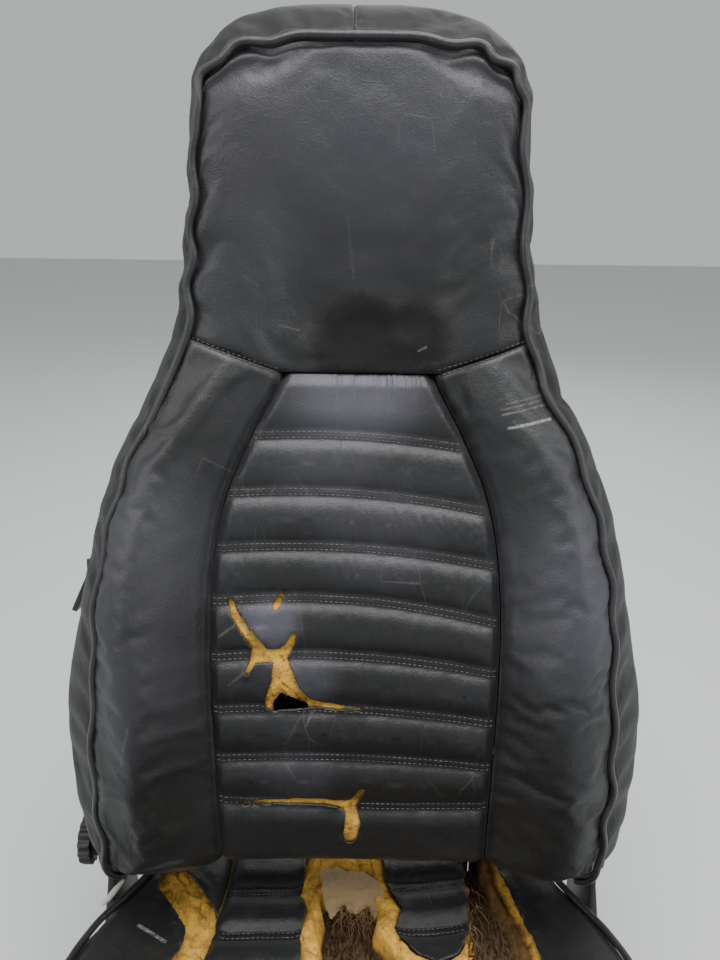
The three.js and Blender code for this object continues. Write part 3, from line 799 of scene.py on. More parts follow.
@dataclass
class Stitching:
    """Rows of stitches gathered in one mesh."""

    name: str
    radius: float = 0.5
    length: float = 4.0
    pitch: float = 4.7
    laid: list[Matrix] = field(default_factory=list)

    def row(self, place: Callable[[float], tuple[Vector, Vector]], length: float,
        keep: Callable[[float], bool] | None = None) -> None:
        """Sews one row.

        Args:
            place: From a share of the row to a point and the surface's outward normal, in metres.
            length: The row's length in millimetres.
            keep: Whether there is a stitch at a share of the row.
        """
        count = max(int(length / self.pitch), 2)
        for i in range(count):
            f = (i + 0.5) / count
            if keep and not keep(f):
                continue
            here, up = place(f)
            ahead = (place(min(f + 0.5 / count, 1.0))[0] - place(max(f - 0.5 / count, 0.0))[0]).normalized()
            side = up.cross(ahead).normalized()
            up = ahead.cross(side)
            turn = Matrix((ahead, side, up)).transposed().to_4x4()
            size = Matrix.Diagonal((self.length / 2 * MM, self.radius * MM, self.radius * 0.8 * MM, 1.0))
            self.laid.append(Matrix.Translation(here) @ turn @ size)

    def build(self) -> bpy.types.Object:
        """Makes the mesh of every row sewn so far.

        Returns:
            The finished object.
        """
        one = bmesh.new()
        bmesh.ops.create_icosphere(one, subdivisions=1, radius=1.0)
        stitch = bpy.data.meshes.new("one_stitch")
        one.to_mesh(stitch)
        one.free()
        bm = bmesh.new()
        for place in self.laid:
            before = len(bm.verts)
            bm.from_mesh(stitch)
            bm.verts.ensure_lookup_table()
            for v in bm.verts[before:]:
                v.co = place @ v.co
        bpy.data.meshes.remove(stitch)
        return finish_mesh(bm, self.name)


def sew(
    thread: Stitching,
    surface: Mapping,
    path: Callable[[float], Point2],
    length: float,
    way: Vector,
    lift: float = 0.25,
    keep: Callable[[float], bool] | None = None,
    cover: bpy.types.Object | None = None,
) -> None:
    """Sews a row of stitches along a path on a surface.

    Args:
        thread: The mesh that the row is added to.
        surface: From two coordinates in millimetres to a point in metres.
        path: From a share of the row to the surface's two coordinates.
        length: The row's length in millimetres.
        way: Roughly the outward direction.
        lift: Height of the stitches over the surface, in millimetres.
        keep: Whether there is a stitch at a share of the row.
        cover: The settled cover that the row lies on.
    """
    tree = BVHTree.FromObject(cover, bpy.context.evaluated_depsgraph_get()) if cover else None

    def place(f: float) -> tuple[Vector, Vector]:
        """The point and normal at a share of the row.

        Args:
            f: Share of the way, 0 to 1.

        Returns:
            The point in metres, and the unit normal.
        """
        x, y = path(f)
        e = 1.0
        up = (surface(x + e, y) - surface(x - e, y)).cross(surface(x, y + e) - surface(x, y - e)).normalized()
        if up.dot(way) < 0:
            up = -up
        point = surface(x, y)
        if tree:
            hit, normal, _, _ = tree.ray_cast(point + up * 12 * MM, -up, 20 * MM)
            if hit:
                point, up = hit, normal
        return point + up * lift * MM, up

    thread.row(place, length, keep)


def settle(piece: bpy.types.Object, pressure: float, cap: float, slack: float = 0.02,
    frames: int = 12) -> None:
    """Lets a sheet swell and crease as cloth between its sewn edges, and keeps that shape.

    Args:
        piece: The sheet, before it has a wall.
        pressure: How hard the padding pushes it out.
        cap: The furthest that a point may move, in millimetres.
        slack: Share of extra cloth.
        frames: How long it has to settle.
    """
    rest = [v.co.copy() for v in piece.data.vertices]
    bm = bmesh.new()
    bm.from_mesh(piece.data)
    border = [v.index for v in bm.verts if v.is_boundary]
    bm.free()
    group = piece.vertex_groups.new(name="sewn")
    group.add(border, 1.0, "REPLACE")
    cloth = piece.modifiers.new("cloth", "CLOTH")
    values = cloth.settings
    values.quality = 5
    values.mass = 0.25
    values.tension_stiffness = values.compression_stiffness = 12.0
    values.shear_stiffness = 6.0
    values.bending_stiffness = 0.6
    values.vertex_group_mass = group.name
    values.shrink_min = -slack
    values.use_pressure = True
    values.uniform_pressure_force = pressure
    values.effector_weights.gravity = 0.0
    cloth.collision_settings.use_collision = False
    cloth.point_cache.frame_start = 1
    cloth.point_cache.frame_end = frames
    for frame in range(1, frames + 1):
        bpy.context.scene.frame_set(frame)
    shaped = piece.evaluated_get(bpy.context.evaluated_depsgraph_get()).data
    moved = [v.co.copy() for v in shaped.vertices]
    piece.modifiers.remove(cloth)
    piece.vertex_groups.remove(group)
    bpy.context.scene.frame_set(1)
    for vertex, start, end in zip(piece.data.vertices, rest, moved):
        step = end - start
        far = step.length
        limit = cap * MM
        vertex.co = start + step * (limit * math.tanh(far / limit) / far if far > 1e-9 else 0.0)


# ---------------------------------------------------------------- the seat's surfaces

SIDES = (("left", 1), ("right", -1))
OUT_FRONT = Vector((0.0, -1.0, 0.25))
UPWARD = Vector((0.0, 0.0, 1.0))


@dataclass(frozen=True)
class BackShape:
    """The backrest's surfaces: x across, s up the back, t forward out of it."""

    lean: float = math.radians(14.0)
    roll: float = 40.0
    roll_drop: float = 20.0
    roll_depth: float = 34.0
    hinge_y: float = 146.0
    hinge_z: float = 200.0
    bottom: float = 40.0
    corner: float = 670.0
    piping_top: float = 742.0
    crown: float = 788.0
    corner_at: float = 0.76
    corner_power: float = 0.62
    seam_in: float = 480.0
    seam_out: float = 508.0
    wave: float = 2.7
    waves: float = 13.3
    piping_half: Profile = Profile(
        (40, 222), (120, 227), (220, 222), (300, 217), (380, 199), (430, 179), (480, 154), (510, 144),
        (580, 138), (670, 131)
    )
    boxing_half: Profile = Profile(
        (40, 254), (75, 262), (150, 268), (195, 266), (265, 251), (335, 236),
        (380, 223), (430, 201), (465, 183), (510, 164), (560, 152), (670, 142),
    )
    insert_half: Profile = Profile(
        (40, 124), (230, 128), (285, 127), (330, 123), (376, 113), (426, 92), (480, 66), (560, 60), (740, 60)
    )
    centre_depth: Profile = Profile(
        (40, 80), (150, 92), (230, 96), (330, 88), (430, 80), (490, 78), (560, 82), (640, 98), (740, 112)
    )
    seam_depth: Profile = Profile(
        (40, 84), (150, 98), (230, 104), (330, 97), (430, 88), (490, 82), (560, 86), (640, 101), (740, 113)
    )
    piping_depth: Profile = Profile(
        (40, 104), (150, 118), (250, 121), (350, 114), (430, 105), (500, 96), (580, 100), (670, 110),
        (740, 114)
    )
    rise: Profile = Profile((40, 14), (150, 26), (300, 26), (430, 15), (510, 5), (560, 3), (740, 1))
    shell_depth: Profile = Profile((0, -45), (200, -50), (450, -46), (600, -32), (760, -10))

    def put(self, x: float, s: float, t: float) -> Vector:
        """A point of the backrest, in metres."""
        c, k = math.cos(self.lean), math.sin(self.lean)
        return Vector((x, self.hinge_y - t * c + s * k, self.hinge_z + s * c + t * k)) * MM

    def front(self, x: float, s: float) -> float:
        """Depth of the plain front surface.

        Args:
            x: Millimetres across.
            s: Millimetres up the back.

        Returns:
            Millimetres.
        """
        seam, a = self.insert_half(s), abs(x)
        if a <= seam:
            return mix(self.centre_depth(s), self.seam_depth(s), (a / seam) ** 2)
        f = min((a - seam) / (self.piping_half(s) - seam), 1.0)
        return mix(self.seam_depth(s), self.piping_depth(s), f) + self.rise(s) * math.sin(math.pi * f**1.2)

    def ripple(self, v: float, side: int) -> float:
        """How far the pulled piping wanders at a share of the outline.

        Args:
            v: Share of the outline.
            side: 1 on the left, -1 on the right.

        Returns:
            Millimetres.
        """
        phase = self.waves * v + 0.45 * noise.noise(Vector((v * 6.0, side * 3.0, 1.0)))
        swell = 0.8 + 0.9 * noise.noise(Vector((v * 7.0, side * 5.0, 4.0)))
        calm = 1 - ease(0.93, 1.0, v)
        return self.wave * swell * calm * math.sin(2 * math.pi * phase + (0.0 if side > 0 else 1.9))

    def outline(self, v: float, side: int, half: Profile, grow: float, top: float,
        wavy: float = 0.0) -> Point2:
        """A point of the backrest's outline, v from 0 at the lower corner to 1 at the top's centre.

        Args:
            v: Share of the outline.
            side: 1 on the left, -1 on the right.
            half: The half width by height.
            grow: Millimetres outside the outline.
            top: Height of the outline's top.
            wavy: Share of the ripple that it follows.

        Returns:
            Its two coordinates, in millimetres.
        """
        w = wavy * self.ripple(v, side)
        if v <= self.corner_at:
            s = mix(self.bottom, self.corner, v / self.corner_at)
            return half(s) + grow + w, s
        a = (v - self.corner_at) / (1 - self.corner_at) * math.pi / 2
        x = (half(self.corner) + grow + w) * max(math.cos(a), 0.0) ** self.corner_power
        return x, mix(self.corner, top + w, math.sin(a) ** self.corner_power)

    def climb(self, f: float) -> float:
        """The outline's v at an even share of the way up and over, evenly spaced at the top too.

        Args:
            f: Share of the way, 0 to 1.

        Returns:
            Share of the outline.
        """
        if f < 0.8:
            return f * 1.1
        across = 0.807 * (1 - (f - 0.8) / 0.2)
        over = math.acos(min(max(across, 0.0) ** (1 / self.corner_power), 1.0)) / (math.pi / 2)
        return mix(self.corner_at, 1.0, over)

    def share(self, s: float) -> float:
        """The share of the outline at a height on its straight part."""
        return self.corner_at * (s - self.bottom) / (self.corner - self.bottom)

    def edge(self, s: float, side: int) -> float:
        """Half width at the rippled piping."""
        return self.piping_half(s) + self.ripple(self.share(min(max(s, self.bottom), self.corner)), side)

    def under(self, x: float, s: float, t: float) -> Vector:
        """A point whose path below the front's lower edge turns back under the padding.

        Args:
            x: Millimetres across.
            s: Millimetres up the back.
            t: Millimetres out of the back.

        Returns:
            The point, in metres.
        """
        q = self.bottom - s
        if q <= 0:
            return self.put(x, s, t)
        turn = min(q / self.roll, 1.0) * math.pi / 2
        pull = 18.0 * (1 - math.cos(turn)) * min(abs(x) / 222.0, 1.0) ** 6
        x = math.copysign(abs(x) - pull, x)
        low, deep = self.bottom - self.roll_drop * math.sin(turn), t - self.roll_depth * (1 - math.cos(turn))
        if q > self.roll:
            f = min((q - self.roll) / 120.0, 1.0)
            low, deep = mix(low, 14.0, f), mix(deep, -36.0, f)
        return self.put(x, low, deep)

    def diagonal(self, x: float) -> float:
        """Height of the seam between a bolster and the headrest."""
        inner, outer = self.insert_half(self.seam_in), self.piping_half(self.seam_out)
        f = (abs(x) - inner) / (outer - inner)
        return mix(self.seam_in, self.seam_out, min(max(f, 0.0), 1.0))

    def brow(self, side_share: float, side: int) -> float:
        """Height of the headrest's top edge at a share of its half width.

        Args:
            side_share: Share of the half width.
            side: 1 on the left, -1 on the right.

        Returns:
            Millimetres.
        """
        a = abs(side_share)
        at = math.acos(min(a ** (1 / self.corner_power), 1.0)) / (math.pi / 2)
        top = self.piping_top - 3 + self.ripple(mix(self.corner_at, 1, at), side)
        return self.corner + (top - self.corner) * max(1 - a**3.2, 0.0) ** (1 / 3.2)


@dataclass(frozen=True)
class CushionShape:
    """The cushion's surfaces: x across, d forward from the hinge, z up."""

    hinge_y: float = 146.0
    rear: float = -34.0
    roll: float = 18.0
    roll_radius: float = 11.0
    front: float = 496.0
    round_at: float = 430.0
    power: float = 3.3
    floor: float = 101.0
    half: Profile = Profile(
        (10, 206), (40, 223), (60, 234), (80, 244), (114, 256), (200, 262), (350, 262), (430, 256)
    )
    seam: Profile = Profile((10, 127), (60, 133), (100, 137), (200, 140), (500, 140))
    centre: Profile = Profile((50, 150), (150, 158), (300, 178), (430, 192), (496, 186))
    edge: Profile = Profile((50, 168), (125, 175), (180, 198), (300, 216), (430, 226), (496, 206))
    rise: Profile = Profile((50, 4), (125, 5), (180, 14), (400, 16), (496, 4))

    def put(self, x: float, d: float, z: float) -> Vector:
        """A point of the cushion, in metres."""
        return Vector((x, self.hinge_y - d, z)) * MM

    def top(self, x: float, d: float) -> float:
        """Height of the plain top surface.

        Args:
            x: Millimetres across.
            d: Millimetres forward of the hinge.

        Returns:
            Millimetres.
        """
        seam, a = self.seam(d), abs(x)
        if a <= seam:
            return self.centre(d) + 8 * (a / seam) ** 2
        f = min((a - seam) / (self.half(d) - seam), 1.0)
        return mix(self.centre(d) + 8, self.edge(d), f) + self.rise(d) * math.sin(math.pi * f)

    def width(self, d: float, inset: float = 0.0) -> float:
        """Half width, drawn in at the front's rounded corners."""
        into = max(d - self.round_at, 0.0) / (self.front - self.round_at - inset)
        return (self.half(d) - inset) * max(1 - into**self.power, 0.0) ** (1 / self.power)

    def rim(self, v: float, grow: float) -> Point2:
        """A point of the rim, v from 0 at the left rear corner to 1 at the right.

        Args:
            v: Share of the rim.
            grow: Millimetres outside it.

        Returns:
            Its two coordinates, in millimetres.
        """
        side = 1 if v < 0.5 else -1
        f, straight = 1 - abs(2 * v - 1), 0.62
        if f <= straight:
            d = mix(self.rear, self.round_at, f / straight)
            return side * (self.half(d) + grow), d
        a = (f - straight) / (1 - straight) * math.pi / 2
        across = max(math.cos(a), 0.0) ** (2 / self.power)
        ahead = math.sin(a) ** (2 / self.power)
        reach = self.front - self.round_at
        return side * (self.half(self.round_at) + grow) * across, self.round_at + (reach + grow) * ahead

    def behind(self, x: float, d: float, z: float) -> Vector:
        """A point whose path past the rear edge turns down behind the foam.

        Args:
            x: Millimetres across.
            d: Millimetres forward of the hinge.
            z: Millimetres up.

        Returns:
            The point, in metres.
        """
        q = self.rear + 10 - d
        if q <= 0:
            return self.put(x, d, z)
        turn = min(q / self.roll, 1.0) * math.pi / 2
        drop = self.roll_radius * (1 - math.cos(turn)) + max(q - self.roll, 0.0)
        return self.put(x, self.rear + 10 - self.roll_radius * math.sin(turn), max(z - drop, self.floor + 3))


@dataclass(frozen=True)
class Hole:
    """A torn-out patch inside a closed outline, in millimetres."""

    outline: Sequence[Point2]
    ragged: float = 1.6

    def gap(self, x: float, y: float) -> float:
        """Distance outside the patch, negative inside it.

        Args:
            x: Millimetres across.
            y: Millimetres along.

        Returns:
            Millimetres.
        """
        best, inside = 1e9, False
        ring = list(self.outline)
        for (ax, ay), (bx, by) in zip(ring, ring[1:] + ring[:1]):
            dx, dy = bx - ax, by - ay
            f = min(max(((x - ax) * dx + (y - ay) * dy) / (dx * dx + dy * dy), 0.0), 1.0)
            best = min(best, math.hypot(x - ax - f * dx, y - ay - f * dy))
            if (ay > y) != (by > y) and x < ax + (y - ay) * dx / dy:
                inside = not inside
        best = -best if inside else best
        if abs(best) < 14.0:
            best += self.ragged * ruffle(x, y, 9.0, 3.0) + 0.5 * self.ragged * ruffle(x, y, 3.0, 5.0)
        return best

    onto_edge = Tear.onto_edge


# ---------------------------------------------------------------- the backrest's soft pieces


@dataclass(frozen=True)
class Outside:
    """Everything outside a patch, cut away so that a sheet is kept only inside it."""

    kept: Hole

    def gap(self, x: float, y: float) -> float:
        """Distance inside the kept patch's edge, negative outside it."""
        return -self.kept.gap(x, y)

    onto_edge = Tear.onto_edge


@dataclass
class BackrestTrim:
    """The backrest's covers, piping, boxing, shell and foam."""

    shape: BackShape = field(default_factory=BackShape)
    body: str = "backrest"
    skin: float = 2.0
    rows: tuple[tuple[float, float, float], ...] = (
        (426, 426, 417.5), (376, 376, 363), (328, 328, 315), (281.6, 282, 264.5),
        (232, 232, 218.5), (183, 182, 172), (135, 135, 128), (93.6, 86, 89.7),
    )
    fell: float = 3.9
    tears: tuple["Tear | Hole", ...] = (
        Tear([
            [(-109, 283, 2.3), (-103, 269, 3.8), (-95, 256, 4.6), (-88, 247, 5.2), (-82, 235, 6.2)],
            [(-86, 233, 5.4), (-63, 233, 5.8)],
            [(-64, 233, 5.4), (-56, 243, 3.8), (-52, 255, 2.0)],
            [(-88, 231, 3.4), (-94, 219, 2.0)],
            [(-66, 232, 6.5), (-64, 222, 7.5)],
            [(-46, 190, 4.5), (-34, 187, 3.8), (-18, 184.5, 2.6), (6, 182, 1.9)],
        ]),
        Hole((
            (-71, 228), (-73, 210), (-79, 195), (-78, 183), (-70, 180), (-58, 182), (-44, 183), (-34, 184),
            (-40, 194), (-48, 206), (-56, 224),
        ), 0.9),
        Tear([[(-64, 288, 2.4), (-69, 277, 3.4)]]),
        Tear([
            [(-100, 88, 2.0), (-80, 89, 2.6), (-50, 89, 3.2), (-24, 88, 3.6), (-2, 85, 4.6)],
            [(-1, 86, 4.2), (5, 96, 3.4), (11, 109, 1.4)],
            [(-1, 82, 5.4), (0, 68, 7.4), (-2, 55, 6.0)],
        ]),
    )

    cave_depth: float = 24.0
    row_in: float = 1.5
    cave: Hole = Hole(((-65, 198), (-73, 186), (-74, 172), (-40, 172), (-42, 186), (-50, 190), (-58, 194)),
        1.0)

    def row(self, i: int, x: float) -> float:
        """Height of a pleat's seam across the insert."""
        low, mid, high = self.rows[i]
        q = x / self.shape.insert_half(mid)
        return mid + (high - low) / 2 * q + ((low + high) / 2 - mid) * q * q

    def pleat(self, x: float, s: float) -> float:
        """How far the insert stands out or in from its plain surface.

        Args:
            x: Millimetres across.
            s: Millimetres up the back.

        Returns:
            Millimetres.
        """
        heights = [self.row(i, x) for i in range(len(self.rows))]
        nearest = min(heights, key=lambda h: abs(s - h))
        off = s - nearest
        a = abs(off)
        swell = 3.2 if nearest != heights[0] or off < 0 else 2.4
        if a < self.fell:
            return -2.3 + 0.7 * (1 - (a / self.fell) ** 2)
        q = min((a - self.fell) / (24.0 - self.fell), 1.0)
        full = 1 - (1 - q) ** (3.2 if off < 0 else 2.1)
        return -2.9 + (2.9 + swell) * full * (1.0 + 0.2 * ruffle(x, nearest, 60.0, nearest))

    def pleated(self, x: float, at: float) -> float:
        """Depth of the pleated insert.

        Args:
            x: Millimetres across.
            at: Millimetres up the back.

        Returns:
            Millimetres.
        """
        shape = self.shape
        edge = shape.insert_half(at) - abs(x)
        t = shape.front(x, at) + self.pleat(x, at) * ease(-2.0, 14.0,
            edge) - 5.5 * (1 - ease(-1.0, 10.0, edge))
        t -= 5.0 * (1 - ease(0.0, 12.0, shape.seam_in - at))
        seam = min(abs(at - self.row(i, x)) for i in range(len(self.rows)))
        crimp = (1 - ease(5.0, 19.0, seam)) * ease(0.0, 10.0, edge) * ease(0.0, 20.0, shape.seam_in - at)
        t += 0.5 * crimp * ruffle(x, at * 0.35, 9.0, 2.0)
        return t + 1.3 * ruffle(x, at, 70.0, 8.0) + 0.35 * ruffle(x, at, 16.0, 9.0)

    def insert(self, x: float, s: float) -> Vector:
        """A point of the insert's cover.

        Args:
            x: Millimetres across.
            s: Millimetres up the back.

        Returns:
            The point, in metres.
        """
        shape = self.shape
        at = max(s, shape.bottom)
        t = self.pleated(x, at)
        gap = min(tear.gap(x, at) for tear in self.tears)
        if gap < 9.0:
            t += 1.5 * (1 - ease(0.0, 8.0, gap)) * (0.5 + ruffle(x, at, 11.0, 6.0))
        return shape.under(x, s, t)

    def bolster(self, x: float, s: float) -> Vector:
        """A point of a bolster's cover.

        Args:
            x: Millimetres across.
            s: Millimetres up the back.

        Returns:
            The point, in metres.
        """
        shape, side = self.shape, 1 if x > 0 else -1
        at = max(s, shape.bottom)
        inner, outer = abs(x) - shape.insert_half(at), shape.edge(at, side) - abs(x)
        t = shape.front(x, at) + 3.0 * math.sin(math.pi * min(max(inner / (inner + outer), 0.0), 1.0))
        t -= 7.5 * (1 - ease(-1.0, 9.0, inner)) ** 1.5 + 4.0 * (1 - ease(0.0, 11.0, outer)) ** 1.5
        t -= 2.6 * (1 - ease(0.0, 6.0, shape.diagonal(x) - at))
        pull = shape.ripple(shape.share(min(at, shape.corner)), side)
        t -= 0.42 * pull * (1 - ease(4.0, 36.0, outer))
        t += 1.9 * ruffle(x, at * 0.55, 46.0, 12.0 + side) + 0.45 * ruffle(x, at, 15.0, 13.0)
        return shape.under(x, s, t)

    def headrest(self, x: float, s: float) -> Vector:
        """A point of the headrest's cover.

        Args:
            x: Millimetres across.
            s: Millimetres up the back.

        Returns:
            The point, in metres.
        """
        shape, side = self.shape, 1 if x > 0 else -1
        outer = shape.edge(s, side) - abs(x)
        top = shape.brow(min(abs(x) / shape.edge(s, side), 1.0), side) - s
        low = s - shape.diagonal(x)
        t = shape.front(x, s) + 3.4 * ease(0.0, 60.0, min(outer, top, low + 20))
        t -= 4.2 * (1 - ease(0.0, 11.0, min(outer, top))) ** 1.5 + 3.0 * (1 - ease(0.0, 7.0, low))
        t -= 2.6 * math.exp(-(((x - 20) / 46) ** 2) - ((s - 512) / 20) ** 2)
        t += 1.6 * ruffle(x * 1.5, s, 60.0, 21.0) + 0.4 * ruffle(x, s, 17.0, 22.0)
        return shape.put(x, s, t)

    def boxing(self, u: float, v: float, side: int) -> Vector:
        """A point of the boxing: u from 0 at the piping to 1 at the rear, v up the outline.

        Args:
            u: Share across, 0 to 1.
            v: Share along, 0 to 1.
            side: 1 on the left, -1 on the right.

        Returns:
            The point, in metres.
        """
        shape = self.shape
        v = min(max(v, 0.0), 1.0)
        wavy = 1 - ease(0.0, 0.5, u)
        ax, a_s = shape.outline(v, side, shape.piping_half, 3.4, shape.piping_top + 4, 1.0)
        bx, b_s = shape.outline(v, side, shape.boxing_half, 0.0, shape.crown)
        cx, c_s = shape.outline(v, side, shape.boxing_half, -12.0, shape.crown - 16)
        weights = (2 * (u - 0.5) * (u - 1), 4 * u * (1 - u), 2 * u * (u - 0.5))
        depths = (shape.piping_depth(a_s) - 3 - 0.4 * shape.ripple(v, side), 45.0, -26.0)
        x, s, t = (
            sum(w * q for w, q in zip(weights, triple))
            for triple in ((ax, bx, cx), (a_s, b_s, c_s), depths)
        )
        pucker = 0.9 * wavy * math.sin(2 * math.pi * 2.0 * shape.waves * v + side) * ease(0.0, 0.12, u)
        swell = 1.6 * ruffle(u * 130, v * 800 * 0.8, 55.0, 31.0 + side) + pucker
        x += swell * (1 - ease(0.8, 1.0, v)) - 1.0 * (1 - ease(0.0, 0.04, v))
        s += swell * ease(0.8, 1.0, v)
        x = side * x - 6.0 * ease(0.86, 1.0, v)
        return shape.put(x, s, t)

    def build(self, look: "Finishes", threads: Stitching) -> None:
        """Makes and publishes every piece.

        Args:
            look: The seat's materials.
            threads: What the stitches are added to.
        """
        self._front(look)
        self._boxing(look, threads)
        self._piping(look)
        self._rear(look)
        self._foam(look)
        self._stitches(threads)

    def _front(self, look: "Finishes") -> None:
        """The insert, the bolsters and the headrest.

        Args:
            look: The seat's materials.
        """
        shape = self.shape
        panel = Panel(
            "pleated_insert", 132, 292,
            lambda u, v: ((2 * u - 1) * (shape.insert_half(s := mix(-118.0, shape.seam_in - 0.6, v)) - 0.6),
                s),
            self.insert, self.tears,
        ).build()
        thicken(panel, self.skin * MM)
        publish(panel, look.insert, self.body, ("insert_cover",))
        for name, side in SIDES:
            def plan(u: float, v: float, side: int = side) -> Point2:
                """Across from the insert's seam to the piping."""
                s = mix(-118.0, mix(shape.seam_in, shape.seam_out, u) - 0.8, v)
                at = max(s, shape.bottom)
                return side * mix(shape.insert_half(at) + 0.6, shape.edge(at, side) - 2.2, u), s
            panel = Panel(f"bolster_{name}", 34, 178, plan, self.bolster).build()
            settle(panel, 3.0, 3.2, 0.022)
            thicken(panel, self.skin * MM)
            publish(panel, look.bolster, self.body, (f"bolster_cover_{name}",))

        def crown(u: float, v: float) -> Point2:
            """Across the headrest, with its rounded top."""
            share = 2 * u - 1
            side = 1 if share > 0 else -1
            low = shape.diagonal(share * (shape.piping_half(shape.seam_out) - 4)) + 0.8
            s = mix(low, shape.brow(share, side), v)
            return share * (shape.edge(min(s, shape.corner), side) - 2.2), s
        panel = Panel("headrest", 84, 84, crown, self.headrest).build()
        settle(panel, 3.0, 3.0, 0.016)
        thicken(panel, self.skin * MM)
        publish(panel, look.headrest, self.body, ("headrest_cover",))

    def _boxing(self, look: "Finishes", threads: Stitching) -> None:
        """The two halves of the boxing and the three rows of stitches where they meet.

        Args:
            look: The seat's materials.
            threads: What the stitches are added to.
        """
        for name, side in SIDES:
            panel = Panel(
                f"boxing_half_{name}", 38, 236,
                lambda u, v: (u, self.shape.climb(v)), lambda u, v, side=side: self.boxing(u, v, side),
            ).build()
            face_way(panel, Vector((side, -0.3, 0.3)))
            settle(panel, 2.0, 2.4, 0.018)
            thicken(panel, self.skin * MM)
            publish(panel, look.boxing, self.body, (f"boxing_{name}",))
        for near, side in ((0.997, 1), (0.9915, 1), (0.9915, -1)):
            v = self.shape.climb(near)
            sew(
                threads, lambda u, q, side=side: self.boxing(u / 200, q / 1e5, side),
                lambda f, v=v: (mix(5.0, 195.0, f), v * 1e5), 150.0, Vector((0, 0, 1)), 0.5,
            )

    def _line(self, side: int, grow: float, top: float, depth: Callable[[float], float], half: Profile,
        wavy: float) -> list[Vector]:
        """Points along one half of the outline, from below the lower corner to the top.

        Args:
            side: 1 on the left, -1 on the right.
            grow: Millimetres outside the outline.
            top: Height of the outline's top.
            depth: Depth by height.
            half: The half width by height.
            wavy: Share of the ripple that it follows.

        Returns:
            The points, in metres.
        """
        shape = self.shape
        points = []
        for i in range(9, 0, -1):
            a = i / 9 * math.pi / 2 * 0.9
            x, s = shape.outline(0.0, side, half, grow, top, wavy)
            points.append(shape.put(side * (x - 18 * (1 - math.cos(a))), s - 22 * math.sin(a),
                depth(s) - 16 * (1 - math.cos(a))))
        for i in range(201):
            v = shape.climb(i / 200)
            x, s = shape.outline(v, side, half, grow, top, wavy)
            t = depth(s) - 0.4 * wavy * shape.ripple(v, side)
            points.append(shape.put(side * x, s, t))
        return points

    def _piping(self, look: "Finishes") -> None:
        """The front piping, and the piping round the rear shell.

        Args:
            look: The seat's materials.
        """
        shape = self.shape

        def around(
            grow: float, top: float, depth: Callable[[float], float], half: Profile, wavy: float, skip: int
        ) -> list[Vector]:
            """Points round the whole outline, leaving out the first few at each end."""
            left, right = (self._line(side, grow, top, depth, half, wavy)[skip:] for side in (1, -1))
            return left + right[-2::-1]
        line = around(0.0, shape.piping_top, lambda s: shape.piping_depth(s) + 0.6, shape.piping_half, 1.0, 0)
        front = tube("front_piping", line, 0.0033, 8)
        publish(front, look.piping, self.body, ("backrest_piping",))
        line = around(-12.5, shape.crown - 15, lambda s: -28.0, shape.boxing_half, 0.0, 9)
        rear = tube("rear_piping", line, 0.0028, 8)
        publish(rear, look.piping, self.body)

    def _rear(self, look: "Finishes") -> None:
        """The covered rear shell.

        Args:
            look: The seat's materials.
        """
        shape = self.shape

        def plan(u: float, v: float) -> Point2:
            """Across the shell, with its rounded top and cut lower corners."""
            share = 2 * u - 1
            top = shape.crown - 20 - 46 * abs(share) ** 5
            return share, mix(12.0, top, v)

        def place(share: float, s: float) -> Vector:
            """A point of the shell's outside."""
            half = shape.boxing_half(max(s, shape.bottom)) - 14.5
            half = min(half, mix(212.0, half, ease(80.0, 100.0, s)))
            t = shape.shell_depth(s) + 15 * share**4 + 0.6 * ruffle(share * 220, s, 90.0, 41.0)
            t -= 1.2 * ease(0.80, 0.84, abs(share)) * (1 - ease(0.84, 0.88, abs(share))) - 1.5 * ease(0.9,
                1.0, abs(share))
            return shape.put(share * half, s, t)
        panel = Panel("rear_shell", 76, 110, plan, place).build()
        face_way(panel, Vector((0, 1, 0)))
        thicken(panel, 0.003)
        publish(panel, look.shell, self.body, ("backrest_shell",))

    def _foam(self, look: "Finishes") -> None:
        """The foam under the covers, lumpy where the insert is torn, with painted shadow in its sunken cave.

        Args:
            look: The seat's materials.
        """
        shape = self.shape
        painted_cave_shadow: list[float] = []

        def place(x: float, s: float) -> Vector:
            """A point of the foam's front.

            Args:
                x: Millimetres across.
                s: Millimetres up the back.

            Returns:
                The point, in metres.
            """
            at = max(s, shape.bottom)
            torn = -min(tear.gap(x, at) for tear in self.tears)
            t = self.pleated(x, at) - mix(7.0, 2.4, ease(-5.0, 1.0, torn))
            if torn > -5:
                t += 0.9 * ruffle(x, at, 7.0, 50.0) + 0.6 * ruffle(x, at, 2.6, 51.0)
                crack = abs(ruffle(x + 0.5 * at, at * 0.6, 13.0, 52.0))
                t -= 3.0 * (1 - ease(0.0, 0.08, crack)) * ease(2.5, 5.0, torn)
            hollow = 1 - ease(-3.0, 1.0, self.cave.gap(x, at))
            painted_cave_shadow.append(hollow)
            return shape.put(x, s, t - self.cave_depth * hollow)

        def plan(u: float, v: float) -> Point2:
            """Across the foam, inside the insert's seams."""
            s = mix(46.0, 466.0, v)
            return (2 * u - 1) * (shape.insert_half(s) - 3.0), s
        piece = Panel("backrest_padding", 128, 230, plan, place).build()
        # The cave's mask goes on the mesh as "hollow", the foam's painted shadow.
        layer = piece.data.attributes.new("hollow", "FLOAT", "POINT")
        for i, value in enumerate(painted_cave_shadow):
            layer.data[i].value = value
        thicken(piece, 0.03)
        publish(piece, look.foam, self.body, ("backrest_foam",))

    def _stitches(self, threads: Stitching) -> None:
        """Double rows along the pleats and the diagonal seams.

        Args:
            threads: What the stitches are added to.
        """
        shape = self.shape
        for i in range(len(self.rows)):
            for lift in (self.row_in - self.fell, self.fell - self.row_in):
                def path(f: float, i: int = i, lift: float = lift) -> Point2:
                    """Across the insert beside a seam."""
                    half = shape.insert_half(self.rows[i][1]) - 2.5
                    x = mix(-half, half, f)
                    return x, self.row(i, x) + lift

